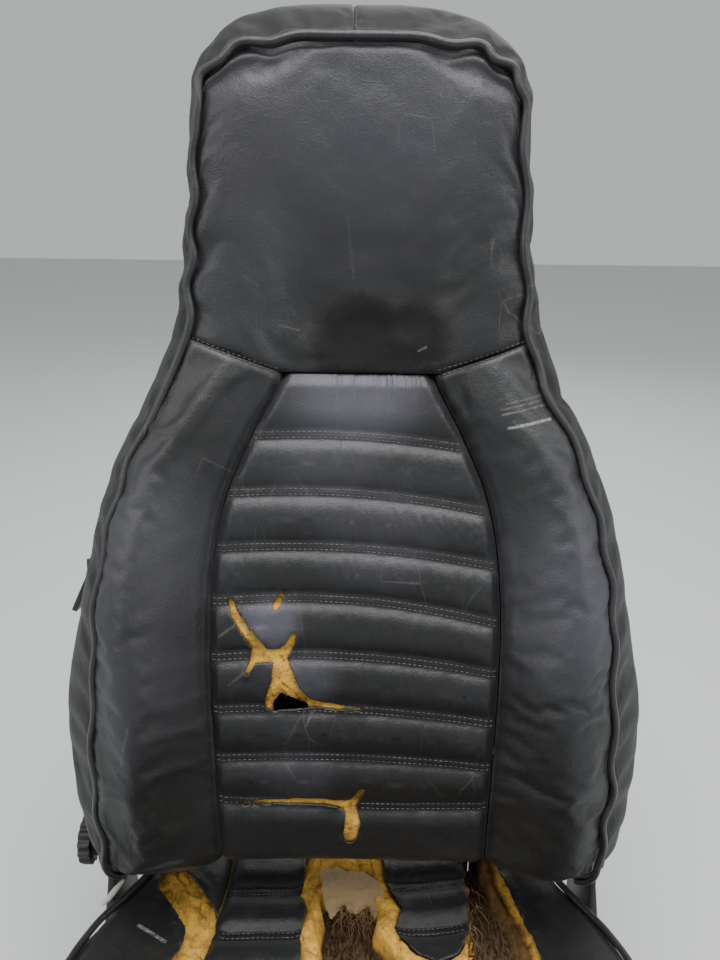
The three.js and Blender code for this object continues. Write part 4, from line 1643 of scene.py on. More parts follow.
                def sound(f: float, path: Callable[[float], Point2] = path) -> bool:
                    """Whether the cover is whole there."""
                    return min(tear.gap(*path(f)) for tear in self.tears) > 1.0
                sew(threads, self.insert, path, 2 * shape.insert_half(self.rows[i][1]), OUT_FRONT, 0.4, sound)
        for name, side in SIDES:
            covers = ((-2.6, self.bolster, f"bolster_{name}"), (2.6, self.headrest, "headrest"))
            for lift, surface, cover in covers:
                def path(f: float, side: int = side, lift: float = lift) -> Point2:
                    """Along the diagonal seam."""
                    x = side * mix(shape.insert_half(shape.seam_in) + 2,
                        shape.piping_half(shape.seam_out) - 4, f)
                    return x, shape.diagonal(x) + lift
                sew(threads, surface, path, 84.0, OUT_FRONT, 0.2, None, bpy.data.objects[cover])


# ---------------------------------------------------------------- the cushion's soft pieces


@dataclass
class CushionTrim:
    """The cushion's covers, piping, skirt and torn foam."""

    shape: CushionShape = field(default_factory=CushionShape)
    body: str = "seat_base"
    skin: float = 2.0
    pitch: float = 53.0
    row_in: float = 1.2
    fibres: int = 64
    first: float = 14.0
    fell: float = 3.9
    centre_hole: Hole = Hole((
        (-48, -30), (-50, 2), (-52, 25), (-45, 45), (-50, 70), (-47, 100), (-51, 130), (-40, 158), (0, 174),
        (50, 168),
        (100, 160), (150, 150), (150, -30), (118, -30), (116, 30), (116, 60), (111, 80), (101, 96), (82, 102),
        (63, 93),
        (50, 75), (42, 60), (52, 42), (44, 28), (35, 6), (32, -30),
    ), 1.4)
    side_hole: Hole = Hole((
        (120, -30), (118, 60), (120, 150), (134, 178), (158, 190), (174, 176), (180, 140), (176, 105),
        (168, 70),
        (160, 36), (151, 0), (148, -30),
    ))
    strip: Hole = Hole((
        (-196, 14), (-184, 10), (-172, 14), (-160, 22), (-145, 40), (-133, 53), (-132, 75), (-136, 99),
        (-139, 125),
        (-146, 148), (-158, 154), (-165, 140), (-163, 112), (-157, 94), (-160, 80), (-174, 60), (-188, 44),
        (-197, 28),
    ))

    def row(self, i: int, x: float) -> float:
        """Distance forward of a pleat's seam."""
        return self.first + self.pitch * i - 9.0 * x / 130 + 4.0 * (x / 130) ** 2

    def pleat(self, x: float, d: float) -> float:
        """How far the insert stands out or in from its plain surface.

        Args:
            x: Millimetres across.
            d: Millimetres forward of the hinge.

        Returns:
            Millimetres.
        """
        i = round((d - self.row(0, x)) / self.pitch)
        off = d - self.row(min(max(i, 0), 8), x)
        a = abs(off)
        if a < self.fell:
            return -2.8 + 0.8 * (1 - (a / self.fell) ** 2)
        q = min((a - self.fell) / (self.pitch / 2 - self.fell), 1.0)
        return -3.6 + 8.6 * (1 - (1 - q) ** 2.6)

    def torn(self, x: float, d: float) -> float:
        """Distance outside every hole."""
        return min(self.centre_hole.gap(x, d), self.side_hole.gap(x, d), self.strip.gap(x, d))

    def lifted(self, x: float, d: float) -> float:
        """How far a cover's torn edge curls up."""
        gap = self.torn(x, d)
        return 3.0 * (1 - ease(0.0, 12.0, gap)) * (0.55 + ruffle(x, d, 16.0, 61.0)) if gap < 12 else 0.0

    def insert(self, x: float, d: float) -> Vector:
        """A point of the cushion's pleated insert.

        Args:
            x: Millimetres across.
            d: Millimetres forward of the hinge.

        Returns:
            The point, in metres.
        """
        shape = self.shape
        at = max(d, shape.rear + 10)
        edge = shape.seam(at) - abs(x)
        z = shape.top(x, at) + self.pleat(x, at) * ease(-2.0, 14.0, edge) - 4.5 * (1 - ease(-1.0, 9.0, edge))
        z -= 12.0 * ease(462.0, 496.0, d) ** 2
        z += 1.2 * ruffle(x, at, 60.0, 62.0) + 0.4 * ruffle(x, at, 15.0, 63.0) + self.lifted(x, at)
        tongue = math.exp(-(((x - 80) / 34) ** 2)) * ease(10.0, 100.0, d) * (1 - ease(100.0, 120.0, d))
        return shape.behind(x, d, z - 7.0 * tongue)

    def bolster(self, x: float, d: float) -> Vector:
        """A point of a cushion bolster's cover.

        Args:
            x: Millimetres across.
            d: Millimetres forward of the hinge.

        Returns:
            The point, in metres.
        """
        shape = self.shape
        at = max(d, shape.rear + 10)
        inner, outer = abs(x) - shape.seam(at), shape.width(d, 2.0) - abs(x)
        z = shape.top(x, at) + 3.0 * math.sin(math.pi * min(max(inner / max(inner + outer, 1.0), 0.0), 1.0))
        z -= 6.0 * (1 - ease(-1.0, 9.0, inner)) ** 1.5 + 3.6 * (1 - ease(0.0, 12.0, outer)) ** 1.5
        z += 1.6 * ruffle(x, at * 0.6, 50.0, 64.0) + 0.4 * ruffle(x, at, 15.0, 65.0) + self.lifted(x, at)
        return shape.behind(x, d, z)

    def build(self, look: "Finishes", threads: Stitching) -> None:
        """Makes and publishes every piece.

        Args:
            look: The seat's materials.
            threads: What the stitches are added to.
        """
        self._covers(look)
        self._rim(look)
        self._foam(look)
        self._scrim(look)
        self._stitches(threads)

    def _reach(self, v: float) -> float:
        """Distance forward at a share of a cover's length, finer where it is torn."""
        return mix(-96.0, 190.0, v / 0.6) if v < 0.6 else mix(190.0, 490.0, (v - 0.6) / 0.4)

    def _covers(self, look: "Finishes") -> None:
        """The insert and the two bolsters.

        Args:
            look: The seat's materials.
        """
        shape = self.shape
        holes = (self.centre_hole, self.side_hole, self.strip)
        panel = Panel(
            "cushion_insert", 128, 210,
            lambda u, v: ((2 * u - 1) * (min(shape.seam(self._reach(v)),
                shape.width(self._reach(v), 8.0)) - 0.6), self._reach(v)),
            self.insert, holes,
        ).build()
        face_way(panel, UPWARD)
        thicken(panel, self.skin * MM)
        publish(panel, look.cushion, self.body, ("cushion_insert_cover",))
        for name, side in SIDES:
            def plan(u: float, v: float, side: int = side) -> Point2:
                """Across from the insert's seam to the piping."""
                d = self._reach(v)
                return side * mix(min(shape.seam(d), shape.width(d, 8.0)) + 0.6, shape.width(d, 2.0), u), d
            panel = Panel(f"cushion_side_{name}", 48, 190, plan, self.bolster, holes).build()
            face_way(panel, UPWARD)
            settle(panel, 2.5, 3.0, 0.02)
            thicken(panel, self.skin * MM)
            publish(panel, look.cushion, self.body, (f"cushion_bolster_{name}",))

    def _rim(self, look: "Finishes") -> None:
        """The piping, its bare core and the skirt below.

        Args:
            look: The seat's materials.
        """
        shape = self.shape

        def place(v: float, w: float) -> Vector:
            """A point of the skirt: v round the rim, w from its top to its hem."""
            x, d = shape.rim(v, 0.5)
            rx, rd = shape.rim(v,
                0.5 + 4.5 * math.sin(math.pi * min(w * 1.15, 1.0)) - 5.0 * ease(0.9, 1.0, w))
            top = shape.top(x, max(d, 10.0)) - 4.0
            wave = 1.6 * math.sin(v * 120.0) * (1 - ease(0.0, 0.4, w)) + 1.4 * ruffle(v * 1500, w * 90, 60.0,
                66.0)
            out = Vector((rx, rd, 0)) - Vector((0, 240, 0))
            out.normalize()
            return shape.put(rx + out.x * wave, rd + out.y * wave, mix(top, shape.floor, w))
        skirt = Panel("skirt", 330, 26, lambda u, v: (u, v), place).build()
        face_way(skirt, Vector((0, -1, 0)))
        settle(skirt, 1.5, 2.0, 0.015)
        thicken(skirt, self.skin * MM)
        publish(skirt, look.boxing, self.body, ("cushion_skirt",))
        points = []
        for i in range(301):
            v = mix(0.001, 0.999, i / 300)
            x, d = shape.rim(v, 1.6 + 0.8 * math.sin(v * 110))
            points.append(shape.put(x, d, shape.top(x, max(d, 10.0)) - 0.5 + 0.6 * math.sin(v * 75)))
        line = tube("cushion_welt", points, 0.0033, 8)
        publish(line, look.piping, self.body, ("cushion_piping",))
        core = [shape.put(x - 1.2, d, shape.top(x, d) + 2.0) for x,
            d in ((-232, 26), (-235, 34), (-238, 42), (-241, 50), (-244, 56))]
        bare = tube("bare_piping_core", core, 0.0026, 8, lambda f: 0.75 + 0.4 * math.sin(math.pi * f))
        publish(bare, look.core, self.body)

    def _pit(self, x: float, d: float) -> tuple[float, float, float]:
        """The foam's drop under the cover at a point, its rot and its age, both from 0 to 1.

        Args:
            x: Millimetres across.
            d: Millimetres forward of the hinge.

        Returns:
            The drop in millimetres, the rot and the age.
        """
        deep = -self.centre_hole.gap(x, d)
        side = -self.side_hole.gap(x, d)
        tongue = ease(38.0, 48.0, x) * (1 - ease(108.0, 116.0, x)) * ease(-14.0, -6.0,
            d) * (1 - ease(96.0, 112.0, d))
        drop, rot, age = 6.5 + 12.0 * tongue, 0.0, 0.35
        if deep > -6 and not x > 112:
            width = 17.0 + 5.0 * ruffle(x, d, 40.0, 70.0) if d > 22 else 30.0
            into = ease(width - 2, width + 5, deep) if d > 24 or abs(x + 8) > 44 else 0.0
            drop = mix(6.0 + 8.0 * tongue * (1 - ease(-4.0, 2.0,
                deep)) - 8.5 * math.sin(math.pi * min(max((deep + 4) / (width + 8), 0.0), 1.0)), 38.0, into)
            rot, age = into, 0.05
            if d < 30:
                hump = math.exp(-(((x + 12) / 30) ** 2) - ((d - 8) / 20) ** 2)
                drop, rot, age = mix(drop, -10.0, hump), rot * (1 - hump), 0.25
        if side > -6 or (deep > 0 and x > 112):
            ridge = math.exp(-((x - mix(142, 168, ease(-10, 110, d))) / 9.0) ** 2)
            hollow = ease(-4.0, 8.0, max(side, deep))
            drop = mix(drop, mix(27.0, 7.0, ridge), hollow)
            rot = max(rot * (1 - hollow), hollow * mix(0.85, 0.3, ridge))
            age = mix(age, 1.0, hollow)
        return drop, rot, age

    def _foam(self, look: "Finishes") -> None:
        """The torn foam, and the rotten fibre mat below it.

        Args:
            look: The seat's materials.
        """
        shape = self.shape
        marks: list[tuple[float, float]] = []

        def place(x: float, d: float) -> Vector:
            """A point of the foam's top.

            Args:
                x: Millimetres across.
                d: Millimetres forward of the hinge.

            Returns:
                The point, in metres.
            """
            drop, rot, age = self._pit(x, max(d, -2.0))
            marks.append((rot, age))
            z = shape.top(x, max(d, 5.0)) - drop
            near = 1 - ease(6.0, 20.0, self.torn(x, d))
            rough = 1.6 * ruffle(x, d, 11.0, 71.0) + 1.1 * ruffle(x, d, 4.0, 72.0) + rot * 2.6 * ruffle(x, d,
                7.0, 73.0)
            crack = abs(ruffle(x * 0.8, d * 0.6, 15.0, 74.0))
            rough -= 3.0 * (1 - ease(0.0, 0.09, crack)) * (1 - rot)
            return shape.behind(x, d, z + rough * near)

        def plan(u: float, v: float) -> Point2:
            """Across the foam, finer where it shows."""
            d = mix(-30.0, 196.0, v / 0.72) if v < 0.72 else mix(196.0, 484.0, (v - 0.72) / 0.28)
            return (2 * u - 1) * max(min(shape.width(d, 9.0), 214.0 if d < 30 else 240.0), 20.0), d
        piece = Panel("cushion_padding", 230, 150, plan, place).build()
        face_way(piece, UPWARD)
        for name, index in (("rot", 0), ("age", 1)):
            layer = piece.data.attributes.new(name, "FLOAT", "POINT")
            for i, value in enumerate(marks):
                layer.data[i].value = value[index]
        thicken(piece, 0.012)
        publish(piece, look.foam, self.body, ("cushion_foam",))

    def _scrim(self, look: "Finishes") -> None:
        """The rag of backing cloth over the torn hump, and loose fibres hanging from it.

        Args:
            look: The seat's materials.
        """
        shape = self.shape

        def place(x: float, d: float) -> Vector:
            """A point of the rag."""
            drop, _, _ = self._pit(x, d)
            hang = 10.0 * ease(20.0, 44.0, d)
            z = shape.top(x, max(d, 5.0)) - min(drop, 6.0) + 3.2 + 1.8 * ruffle(x, d, 10.0,
                80.0) + 0.9 * ruffle(x, d, 3.5, 81.0)
            return shape.behind(x, d, z - hang)
        patch = Hole(((-34, 4), (-26, -4), (-8, 2), (12, 0), (28, 12), (34, 26), (24, 40), (16, 30), (4, 38),
            (-8, 30), (-20, 42), (-30, 26)), 2.4)
        rag = Panel("scrim_rag", 96, 70, lambda u, v: (mix(-42, 42, u), mix(-10, 50, v)), place,
            (Outside(patch),)).build()
        face_way(rag, UPWARD)
        thicken(rag, 0.0008)
        publish(rag, look.scrim, self.body)
        draw = random.Random(7)
        tufts = [(-26, 30), (-10, 34), (2, 36), (14, 34), (24, 34), (-4, 30), (8, 36), (-42, 30), (122, 18),
            (128, 36), (120, 60)]
        strands: list[bpy.types.Object] = []
        for k in range(self.fibres):
            x, d = tufts[k % len(tufts)]
            x, d = x + draw.uniform(-5, 5), d + draw.uniform(-4, 4)
            z = shape.top(x, d) - draw.uniform(2, 8)
            ax, ad, az = draw.uniform(-5, 5), draw.uniform(2, 7), draw.uniform(-5, 0)
            curl = draw.uniform(0, 6.28)
            line = [
                shape.put(
                    x + ax * q + 2.4 * math.sin(curl + q * 2.2), d + ad * q + 1.6 * math.cos(curl + q * 1.7),
                    z + az * q - 0.8 * q * q
                )
                for q in (j * 0.5 for j in range(8))
            ]
            strands.append(tube(f"strand_{k}", line, 0.00028, 4, lambda f: 1.0 - 0.6 * f))
        publish(join_pieces("loose_fibres", strands), look.fibre, self.body)

    def _stitches(self, threads: Stitching) -> None:
        """Double rows along the cushion's pleats.

        Args:
            threads: What the stitches are added to.
        """
        for i in range(9):
            for lift in (self.row_in - self.fell, self.fell - self.row_in):
                def path(f: float, i: int = i, lift: float = lift) -> Point2:
                    """Across the cushion beside a seam."""
                    x = mix(-126.0, 126.0, f)
                    return x, self.row(i, x) + lift

                def sound(f: float, path: Callable[[float], Point2] = path) -> bool:
                    """Whether the cover is whole there."""
                    return self.torn(*path(f)) > 1.5
                sew(threads, self.insert, path, 252.0, UPWARD, 0.4, sound)


def face_aside(bm: bmesh.types.BMesh, at: Vector, side: int) -> None:
    """Turns a fastener's head that looks up to look sideways, and puts it in place.

    Args:
        bm: The head, standing on the origin.
        at: Where it goes, in metres.
        side: 1 to look left, -1 to look right.
    """
    turn = Matrix(((0, 0, side, 0), (1, 0, 0, 0), (0, side, 0, 0), (0, 0, 0, 1)))
    bmesh.ops.transform(bm, matrix=Matrix.Translation(at) @ turn, verts=bm.verts)
    bmesh.ops.recalc_face_normals(bm, faces=bm.faces)


def join_pieces(name: str, parts: Sequence[bpy.types.Object]) -> bpy.types.Object:
    """One object out of several, which are used up.

    Args:
        name: Its name.
        parts: The objects.

    Returns:
        The finished object.
    """
    bm = bmesh.new()
    for part in parts:
        bm.from_mesh(part.data)
    for part in parts:
        mesh = part.data
        bpy.data.objects.remove(part)
        bpy.data.meshes.remove(mesh)
    return finish_mesh(bm, name)


# ---------------------------------------------------------------- hard pieces


@dataclass
class Hardware:
    """The frame, hinge, latch, slide and knob, softened along their edges."""

    frame: dict[str, object]
    edge: float = 0.0007

    def build(self, look: "Finishes") -> None:
        """Makes and publishes every hard piece.

        Args:
            look: The seat's materials.
        """
        for finish, slot, edge, names in look.hard:
            for name in self._named(names):
                self._soften(name, finish, edge)
        self._knob(look)
        self._screws(look)

    def _named(self, stems: Sequence[str]) -> list[str]:
        """The CAD nodes whose names begin with one of the stems."""
        return sorted(n for n in self.frame["nodes"] if any(n.startswith(s) for s in stems))

    def _soften(self, node: str, finish: bpy.types.Material, edge: float) -> None:
        """A copy of a CAD node with its edges rounded.

        Args:
            node: The CAD node.
            finish: Its material.
            edge: Width of the bevel, in metres.
        """
        source = self.frame["nodes"][node]
        bm = bmesh.new()
        bm.from_mesh(source.data)
        bmesh.ops.remove_doubles(bm, verts=bm.verts, dist=1e-5)
        bmesh.ops.dissolve_limit(bm, angle_limit=0.02, verts=bm.verts, edges=bm.edges)
        bevel_edges(bm, edge, 2, 0.7)
        bmesh.ops.recalc_face_normals(bm, faces=bm.faces)
        piece = finish_mesh(bm, node + "_finished")
        piece.data.set_sharp_from_angle(angle=0.75)
        publish(piece, finish, body_of(source)[0], (node,))

    def _knob(self, look: "Finishes") -> None:
        """The scalloped recliner knob, turned and pressed as one moulding.

        Args:
            look: The seat's materials.
        """
        low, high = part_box("recliner_knob")
        centre = (low + high) / 2
        radius = (high.z - low.z) / 2
        lobes, steps = 14, 14 * 12
        bm = bmesh.new()
        bmesh.ops.create_circle(bm, cap_ends=False, segments=steps, radius=radius)
        ring = list(bm.edges)

        def ripple(edges: Sequence[bmesh.types.BMEdge], scale: float, x: float, bite: float) -> None:
            """Puts a ring of points on the lobed outline."""
            for v in {v for e in edges for v in e.verts}:
                a = math.atan2(v.co.y, v.co.x)
                r = (radius - bite * 0.5 * (1 - math.cos(lobes * a))) * scale
                v.co = Vector((r * math.cos(a), r * math.sin(a), x))
        stations = (
            (0.99, 0.0, 0.0030), (1.0, 0.0012, 0.0032), (1.0, 0.0096, 0.0032), (0.985, 0.0112, 0.003),
            (0.94, 0.0120, 0.0022),
            (0.84, 0.0122, 0.0), (0.82, 0.0108, 0.0), (0.60, 0.0104, 0.0), (0.58, 0.0122, 0.0),
            (0.30, 0.0130, 0.0), (0.05, 0.0131, 0.0),
        )
        ripple(ring, stations[0][0], stations[0][1], stations[0][2])
        back = ring
        for scale, x, bite in stations[1:]:
            made = bmesh.ops.extrude_edge_only(bm, edges=ring)["geom"]
            ring = [g for g in made if isinstance(g,
                bmesh.types.BMEdge) and all(v in made for v in g.verts) and len(g.link_faces) == 1]
            ripple(ring, scale, x, bite)
        bmesh.ops.contextual_create(bm, geom=ring)
        ring = back
        for scale, x in ((0.72, -0.001), (0.66, -0.0045), (0.50, -0.0110), (0.345, -0.0118),
            (0.345, -0.0180)):
            made = bmesh.ops.extrude_edge_only(bm, edges=ring)["geom"]
            ring = [g for g in made if isinstance(g, bmesh.types.BMEdge) and len(g.link_faces) == 1]
            ripple(ring, scale, x, 0.0)
        bmesh.ops.contextual_create(bm, geom=ring)
        top = max(s[1] for s in stations)
        turn = Matrix(((0, 0, -1, 0), (1, 0, 0, 0), (0, 1, 0, 0), (0, 0, 0, 1)))
        bmesh.ops.transform(bm, matrix=Matrix.Translation((low.x + top, centre.y, centre.z)) @ turn,
            verts=bm.verts)
        bmesh.ops.recalc_face_normals(bm, faces=bm.faces)
        piece = finish_mesh(bm, "recliner_handwheel")
        piece.data.set_sharp_from_angle(angle=0.9)
        publish(piece, look.plastic, "knob", ("recliner_knob",))

    def _screws(self, look: "Finishes") -> None:
        """Cross-head screws on the trims, and bolts on the brackets.

        Args:
            look: The seat's materials.
        """
        for name, side in SIDES:
            low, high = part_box(f"hinge_trim_{name}")
            face = high.x if side > 0 else low.x
            for k, (y, z) in enumerate(((0.152, 0.146), (0.132, 0.104))):
                self._screw(f"trim_screw_{name}_{k}", Vector((face, y, z)), side, 0.0042, look.steel,
                    "seat_base")
            low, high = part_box(f"hinge_bracket_{name}")
            face = high.x if side > 0 else low.x
            for k, (y, z) in enumerate(((low.y + 0.014, low.z + 0.018), (high.y - 0.014, low.z + 0.018))):
                self._bolt(f"bracket_bolt_{name}_{k}", Vector((face, y, z)), side, look.zinc, "seat_base")

    @staticmethod
    def _screw(name: str, at: Vector, side: int, radius: float, finish: bpy.types.Material,
        body: str) -> None:
        """A domed screw head with a cross in it.

        Args:
            name: Its name.
            at: Where it sits, in metres.
            side: 1 on the left, -1 on the right.
            radius: In metres.
            finish: Its material.
            body: The CAD body that it rides on.
        """
        bm = bmesh.new()
        made = bmesh.ops.create_uvsphere(bm, u_segments=24, v_segments=12, radius=radius)
        bmesh.ops.scale(bm, vec=(1, 1, 0.45), verts=made["verts"])
        bmesh.ops.bisect_plane(bm, geom=list(bm.verts) + list(bm.edges) + list(bm.faces), plane_co=(0, 0, 0),
            plane_no=(0, 0, -1), clear_outer=True)
        for v in bm.verts:
            arm = min(abs(v.co.x), abs(v.co.y))
            if arm < radius * 0.16 and v.co.xy.length < radius * 0.62:
                v.co.z -= radius * 0.26
        bmesh.ops.contextual_create(bm, geom=[e for e in bm.edges if e.is_boundary])
        face_aside(bm, at, side)
        publish(finish_mesh(bm, name), finish, body)

    @staticmethod
    def _bolt(name: str, at: Vector, side: int, finish: bpy.types.Material, body: str) -> None:
        """A flanged hexagon bolt head.

        Args:
            name: Its name.
            at: Where it sits, in metres.
            side: 1 on the left, -1 on the right.
            finish: Its material.
            body: The CAD body that it rides on.
        """
        bm = bmesh.new()
        bmesh.ops.create_cone(bm, cap_ends=True, segments=24, radius1=0.0085, radius2=0.0078, depth=0.0016,
            matrix=Matrix.Translation((0, 0, 0.0008)))
        bmesh.ops.create_cone(bm, cap_ends=True, segments=6, radius1=0.0066, radius2=0.0064, depth=0.0046,
            matrix=Matrix.Translation((0, 0, 0.0039)))
        bevel_edges(bm, 0.0004, 2, 0.6)
        face_aside(bm, at, side)
        piece = finish_mesh(bm, name)
        piece.data.set_sharp_from_angle(angle=0.6)
        publish(piece, finish, body)


# ---------------------------------------------------------------- finishes and studio


@dataclass
class Finishes:
    """Every material, made once."""

    insert: bpy.types.Material = field(init=False)
    bolster: bpy.types.Material = field(init=False)
    headrest: bpy.types.Material = field(init=False)
    boxing: bpy.types.Material = field(init=False)
    cushion: bpy.types.Material = field(init=False)
    shell: bpy.types.Material = field(init=False)
    piping: bpy.types.Material = field(init=False)
    core: bpy.types.Material = field(init=False)
    foam: bpy.types.Material = field(init=False)
    scrim: bpy.types.Material = field(init=False)
    fibre: bpy.types.Material = field(init=False)
    coir: bpy.types.Material = field(init=False)
    thread: bpy.types.Material = field(init=False)
    plastic: bpy.types.Material = field(init=False)
    steel: bpy.types.Material = field(init=False)
    zinc: bpy.types.Material = field(init=False)
    hard: list[tuple[bpy.types.Material, str, float, tuple[str, ...]]] = field(init=False)

    def __post_init__(self) -> None:
        """Makes the materials."""
        back = BackShape()

        def spot(x: float, s: float, reach: float, soft: float, strength: float) -> Spot:
            """A patch on the backrest's front."""
            return Spot(tuple(back.put(x, s, back.front(x, s))), reach * MM, soft * MM, strength)

        def scuff(ax: float, a_s: float, bx: float, b_s: float, width: float, shade: float) -> Scuff:
            """A rubbed mark on the backrest's front."""
            start, end = (tuple(back.put(x, s, back.front(x, s) + 2.0)) for x, s in ((ax, a_s), (bx, b_s)))
            return Scuff(start, end, width * MM, (shade, shade, shade),
                (0.0, -math.cos(back.lean), math.sin(back.lean)))
        self.insert = Leatherette(
            "insert_leatherette", scuffs=(
                scuff(-118, 252, -104, 262, 1.8, 0.06), scuff(-110, 208, -88, 226, 1.8, 0.05),
                scuff(-42, 168, -36, 182, 1.8, 0.06),
                scuff(-60, 128, -52, 116, 1.8, 0.05), scuff(-50, 168, -62, 150, 1.6, 0.04),
                scuff(40, 236, 96, 228, 1.2, 0.025),
            # Painted highlights follow: lighter patches for the sheen on the torn flap and the insert's top.
            ), painted_highlights=(
                spot(-72, 262, 10, 22, 1.0), spot(0, 470, 22, 60, 1.0), spot(-38, 212, 6, 30, 0.5),
                spot(-20, 395, 16, 50, 0.35),
                spot(20, 350, 20, 60, 0.3), spot(-50, 112, 10, 40, 0.3),
            ),
        ).make()
        # The bolsters' upper parts get lighter patches of painted sheen.
        self.bolster = Leatherette("bolster_leatherette", painted_highlights=(
            spot(190, 300, 20, 90, 0.5), spot(-175, 330, 20, 80, 0.35), spot(-190, 220, 20, 70, 0.25),
        ), dust=(0.020, 0.021, 0.015), scuffs=(
            scuff(126, 437, 161, 445, 1.7, 0.22), scuff(121, 448, 159, 457, 1.3, 0.10),
            scuff(120, 452, 157, 461, 1.2, 0.07),
            scuff(124, 457, 156, 465, 1.2, 0.06), scuff(-196, 150, -186, 190, 1.8, 0.05),
        )).make()
        # The headrest's top gets lighter patches of painted sheen.
        self.headrest = Leatherette("headrest_leatherette", painted_highlights=(
            spot(0, 690, 40, 120, 0.35), spot(-60, 640, 30, 80, 0.25),
        ), soiled=(spot(4, 506, 24, 46, 1.0), spot(46, 510, 18, 40, 0.9)), scuffs=(
            scuff(52, 500, 58, 503, 1.6, 0.10), scuff(-10, 610, -4, 560, 1.6, 0.035),
            scuff(-66, 520, -50, 516, 1.6, 0.04),
            scuff(-96, 560, -84, 552, 1.5, 0.035), scuff(60, 640, 78, 600, 1.3, 0.03),
        )).make()
        # Painted shade: a darker copy of the leatherette, base and bloom dimmed so that the top, lit from
        # overhead, reads dark; the cushion's skirt wears it too.
        self.boxing = Leatherette(
            "shaded_boxing_leatherette", base=(0.004, 0.004, 0.0042), bloom=(0.010, 0.0102, 0.0115), gloss_low=0.5,
            gloss_high=0.66,
            specular=0.28,
        ).make()
        self.cushion = Leatherette("cushion_leatherette", base=(0.006, 0.0064, 0.0064),
            bloom=(0.013, 0.014, 0.014), specular=0.4, scuffs=(
            Scuff((-0.203, 0.065, 0.180), (-0.175, 0.049, 0.178), 0.0024, (0.2, 0.2, 0.2), (0.0, 0.0, 1.0)),
        )).make()
        self.shell = Leatherette("shell_leatherette", gloss_low=0.46, gloss_high=0.62).make()
        self.piping = Leatherette("piping_leatherette", base=(0.010, 0.010, 0.011), gloss_low=0.34,
            gloss_high=0.5).make()
        self.core = Plain("piping_core", (0.55, 0.53, 0.47), (0.7, 0.68, 0.6), 0.7, wear=0.3).make()
        self.foam = Foam().make()
        self.scrim = Plain("scrim_cloth", (0.34, 0.24, 0.13), (0.5, 0.4, 0.26), 0.95,
            spots=(0.12, 0.075, 0.035), grain=1400.0, grain_depth=0.0005).make()
        self.fibre = Plain("fibre", (0.16, 0.10, 0.05), (0.3, 0.2, 0.1), 0.9).make()
        self.coir = Coir().make()
        self.thread = Thread().make()
        self.plastic = Plain("moulded_plastic", (0.011, 0.011, 0.012), (0.06, 0.06, 0.06), 0.42, grain=1500.0,
            grain_depth=0.00012).make()
        self.steel = Plain(
            "painted_steel", (0.012, 0.012, 0.013), (0.10, 0.055, 0.03), 0.42, 0.0, 0.3,
            (0.085, 0.032, 0.013), 0.66,
        ).make()
        self.zinc = Plain("plated_steel", (0.42, 0.41, 0.38), (0.6, 0.6, 0.58), 0.38, 0.9, 0.95,
            (0.16, 0.075, 0.03), 0.64).make()
        self.hard = [
            (self.zinc, "zinc", 0.0006,
                ("rail_lower", "floor_bolt", "recline_shaft", "latch_shaft", "push_rod", "release_bar",
                    "release_arm")),
            (self.steel, "black_steel", 0.0006, (
                "rail_upper", "rail_tie", "base_side", "base_cross", "hinge_bracket", "recliner_housing",
                "recliner_arm",
                "frame_", "latch_hook", "cushion_spring", "back_spring",
            )),
            (self.plastic, "black_plastic", 0.0011,
                ("hinge_cap", "hinge_trim", "lever_bezel", "release_lever")),
            (self.coir, "coir", 0.002, ("coir_pad",)),
        ]


@dataclass(frozen=True)
class Coir:
    """A mat of bonded brown fibre."""

    name: str = "coir_mat"
    dark: Colour = (0.03, 0.018, 0.009)
    light: Colour = (0.17, 0.105, 0.05)

    def make(self) -> bpy.types.Material:
        """Builds the material.

        Returns:
            The material.
        """
        m = Shader(self.name)
        one = m.cloud(420.0, 5.0, 0.7, m.stretched((1.0, 0.2, 1.0)))
        two = m.cloud(420.0, 5.0, 0.7, m.stretched((0.2, 1.0, 1.0)))
        strands = one.top(two)
        m.feed("Base Color", m.blend(strands.step(0.45, 0.7), self.dark, self.light))
        m.feed("Roughness", 0.95)
        m.feed("Normal", m.bump(strands, 0.002, 0.9))
        return m.material


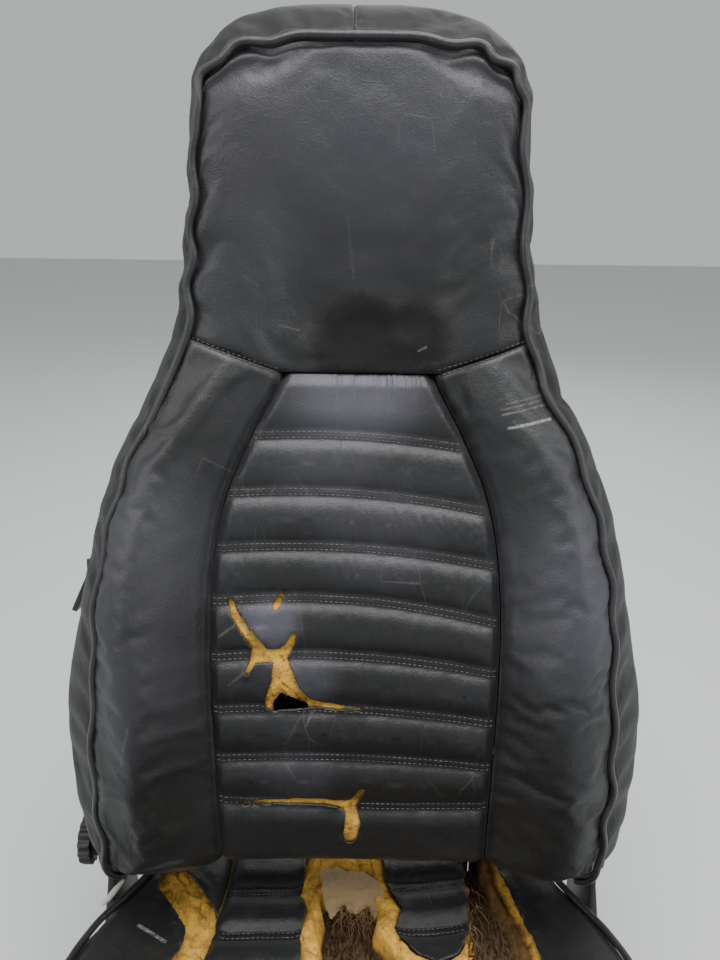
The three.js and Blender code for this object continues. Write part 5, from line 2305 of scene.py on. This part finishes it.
@dataclass(frozen=True)
class Studio:
    """The camera, soft lights and pale floor."""

    eye: tuple[float, float] = (491.3, 817.2)
    across: float = 3.2
    pitch: float = math.radians(8.0)
    roll: float = math.radians(0.7)
    lens: float = 31.875

    def build(self, shape: BackShape) -> None:
        """Sets the stage."""
        self._camera(shape)
        self._lights()
        self._floor()

    def _camera(self, shape: BackShape) -> None:
        """Places the camera before the backrest, looking a little down.

        Args:
            shape: The backrest's surfaces.
        """
        data = bpy.data.cameras.new("camera")
        data.lens, data.sensor_width = self.lens, 36.0
        data.clip_start, data.clip_end = 0.01, 100.0
        camera = bpy.data.objects.new("camera", data)
        bpy.context.scene.collection.objects.link(camera)
        place = shape.put(self.across, *self.eye)
        up_back = (shape.put(0, 1, 0) - shape.put(0, 0, 0)).normalized()
        out_front = (shape.put(0, 0, 1) - shape.put(0, 0, 0)).normalized()
        ahead = -math.sin(self.pitch) * up_back - math.cos(self.pitch) * out_front
        up = math.cos(self.pitch) * up_back - math.sin(self.pitch) * out_front
        right = ahead.cross(up)
        turned = Matrix((right, up, -ahead)).transposed() @ Matrix.Rotation(self.roll, 3, "Z")
        camera.matrix_world = Matrix.Translation(place) @ turned.to_4x4()
        bpy.context.scene.camera = camera

    def _lights(self) -> None:
        """Soft panels overhead, before and beside the seat, in a pale room."""
        for name, place, target, size, power in (
            ("overhead", (0.1, -0.3, 2.5), (0, 0.1, 0.8), 1.5, 62.0),
            ("left_panel", (-1.9, -0.9, 1.7), (0, 0, 0.6), 1.3, 22.0),
            ("right_panel", (1.9, -0.7, 1.5), (0, 0, 0.6), 1.3, 20.0),
            ("rear_panel", (0.4, 2.4, 1.8), (0, 0, 0.6), 1.4, 20.0),
        ):
            data = bpy.data.lights.new(name, "AREA")
            data.energy, data.size = power, size
            lamp = bpy.data.objects.new(name, data)
            bpy.context.scene.collection.objects.link(lamp)
            lamp.location = place
            lamp.rotation_euler = (Vector(target) - Vector(place)).to_track_quat("-Z", "Y").to_euler()
        world = bpy.data.worlds.new("pale_room")
        world.use_nodes = True
        world.node_tree.nodes["Background"].inputs["Color"].default_value = (0.74, 0.76, 0.76, 1.0)
        world.node_tree.nodes["Background"].inputs["Strength"].default_value = 0.72
        bpy.context.scene.world = world

    def _floor(self) -> None:
        """A plain pale floor."""
        bm = bmesh.new()
        bmesh.ops.create_grid(bm, x_segments=1, y_segments=1, size=6.0)
        bmesh.ops.translate(bm, vec=(0, 0, -0.0005), verts=bm.verts)
        ground = finish_mesh(bm, "floor", smooth=False)
        ground.data.materials.append(Ground().make())


def main() -> None:
    """Builds the seat round its frame."""
    logging.basicConfig(level=logging.INFO, format="%(name)s: %(message)s")
    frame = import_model()
    back = BackShape()
    Studio().build(back)
    look = Finishes()
    back_threads = Stitching("back_stitches")
    BackrestTrim(back).build(look, back_threads)
    publish(back_threads.build(), look.thread, "backrest")
    seat_threads = Stitching("cushion_stitches")
    CushionTrim().build(look, seat_threads)
    publish(seat_threads.build(), look.thread, "seat_base")
    Hardware(frame).build(look)


if __name__ == "__main__":
    main()
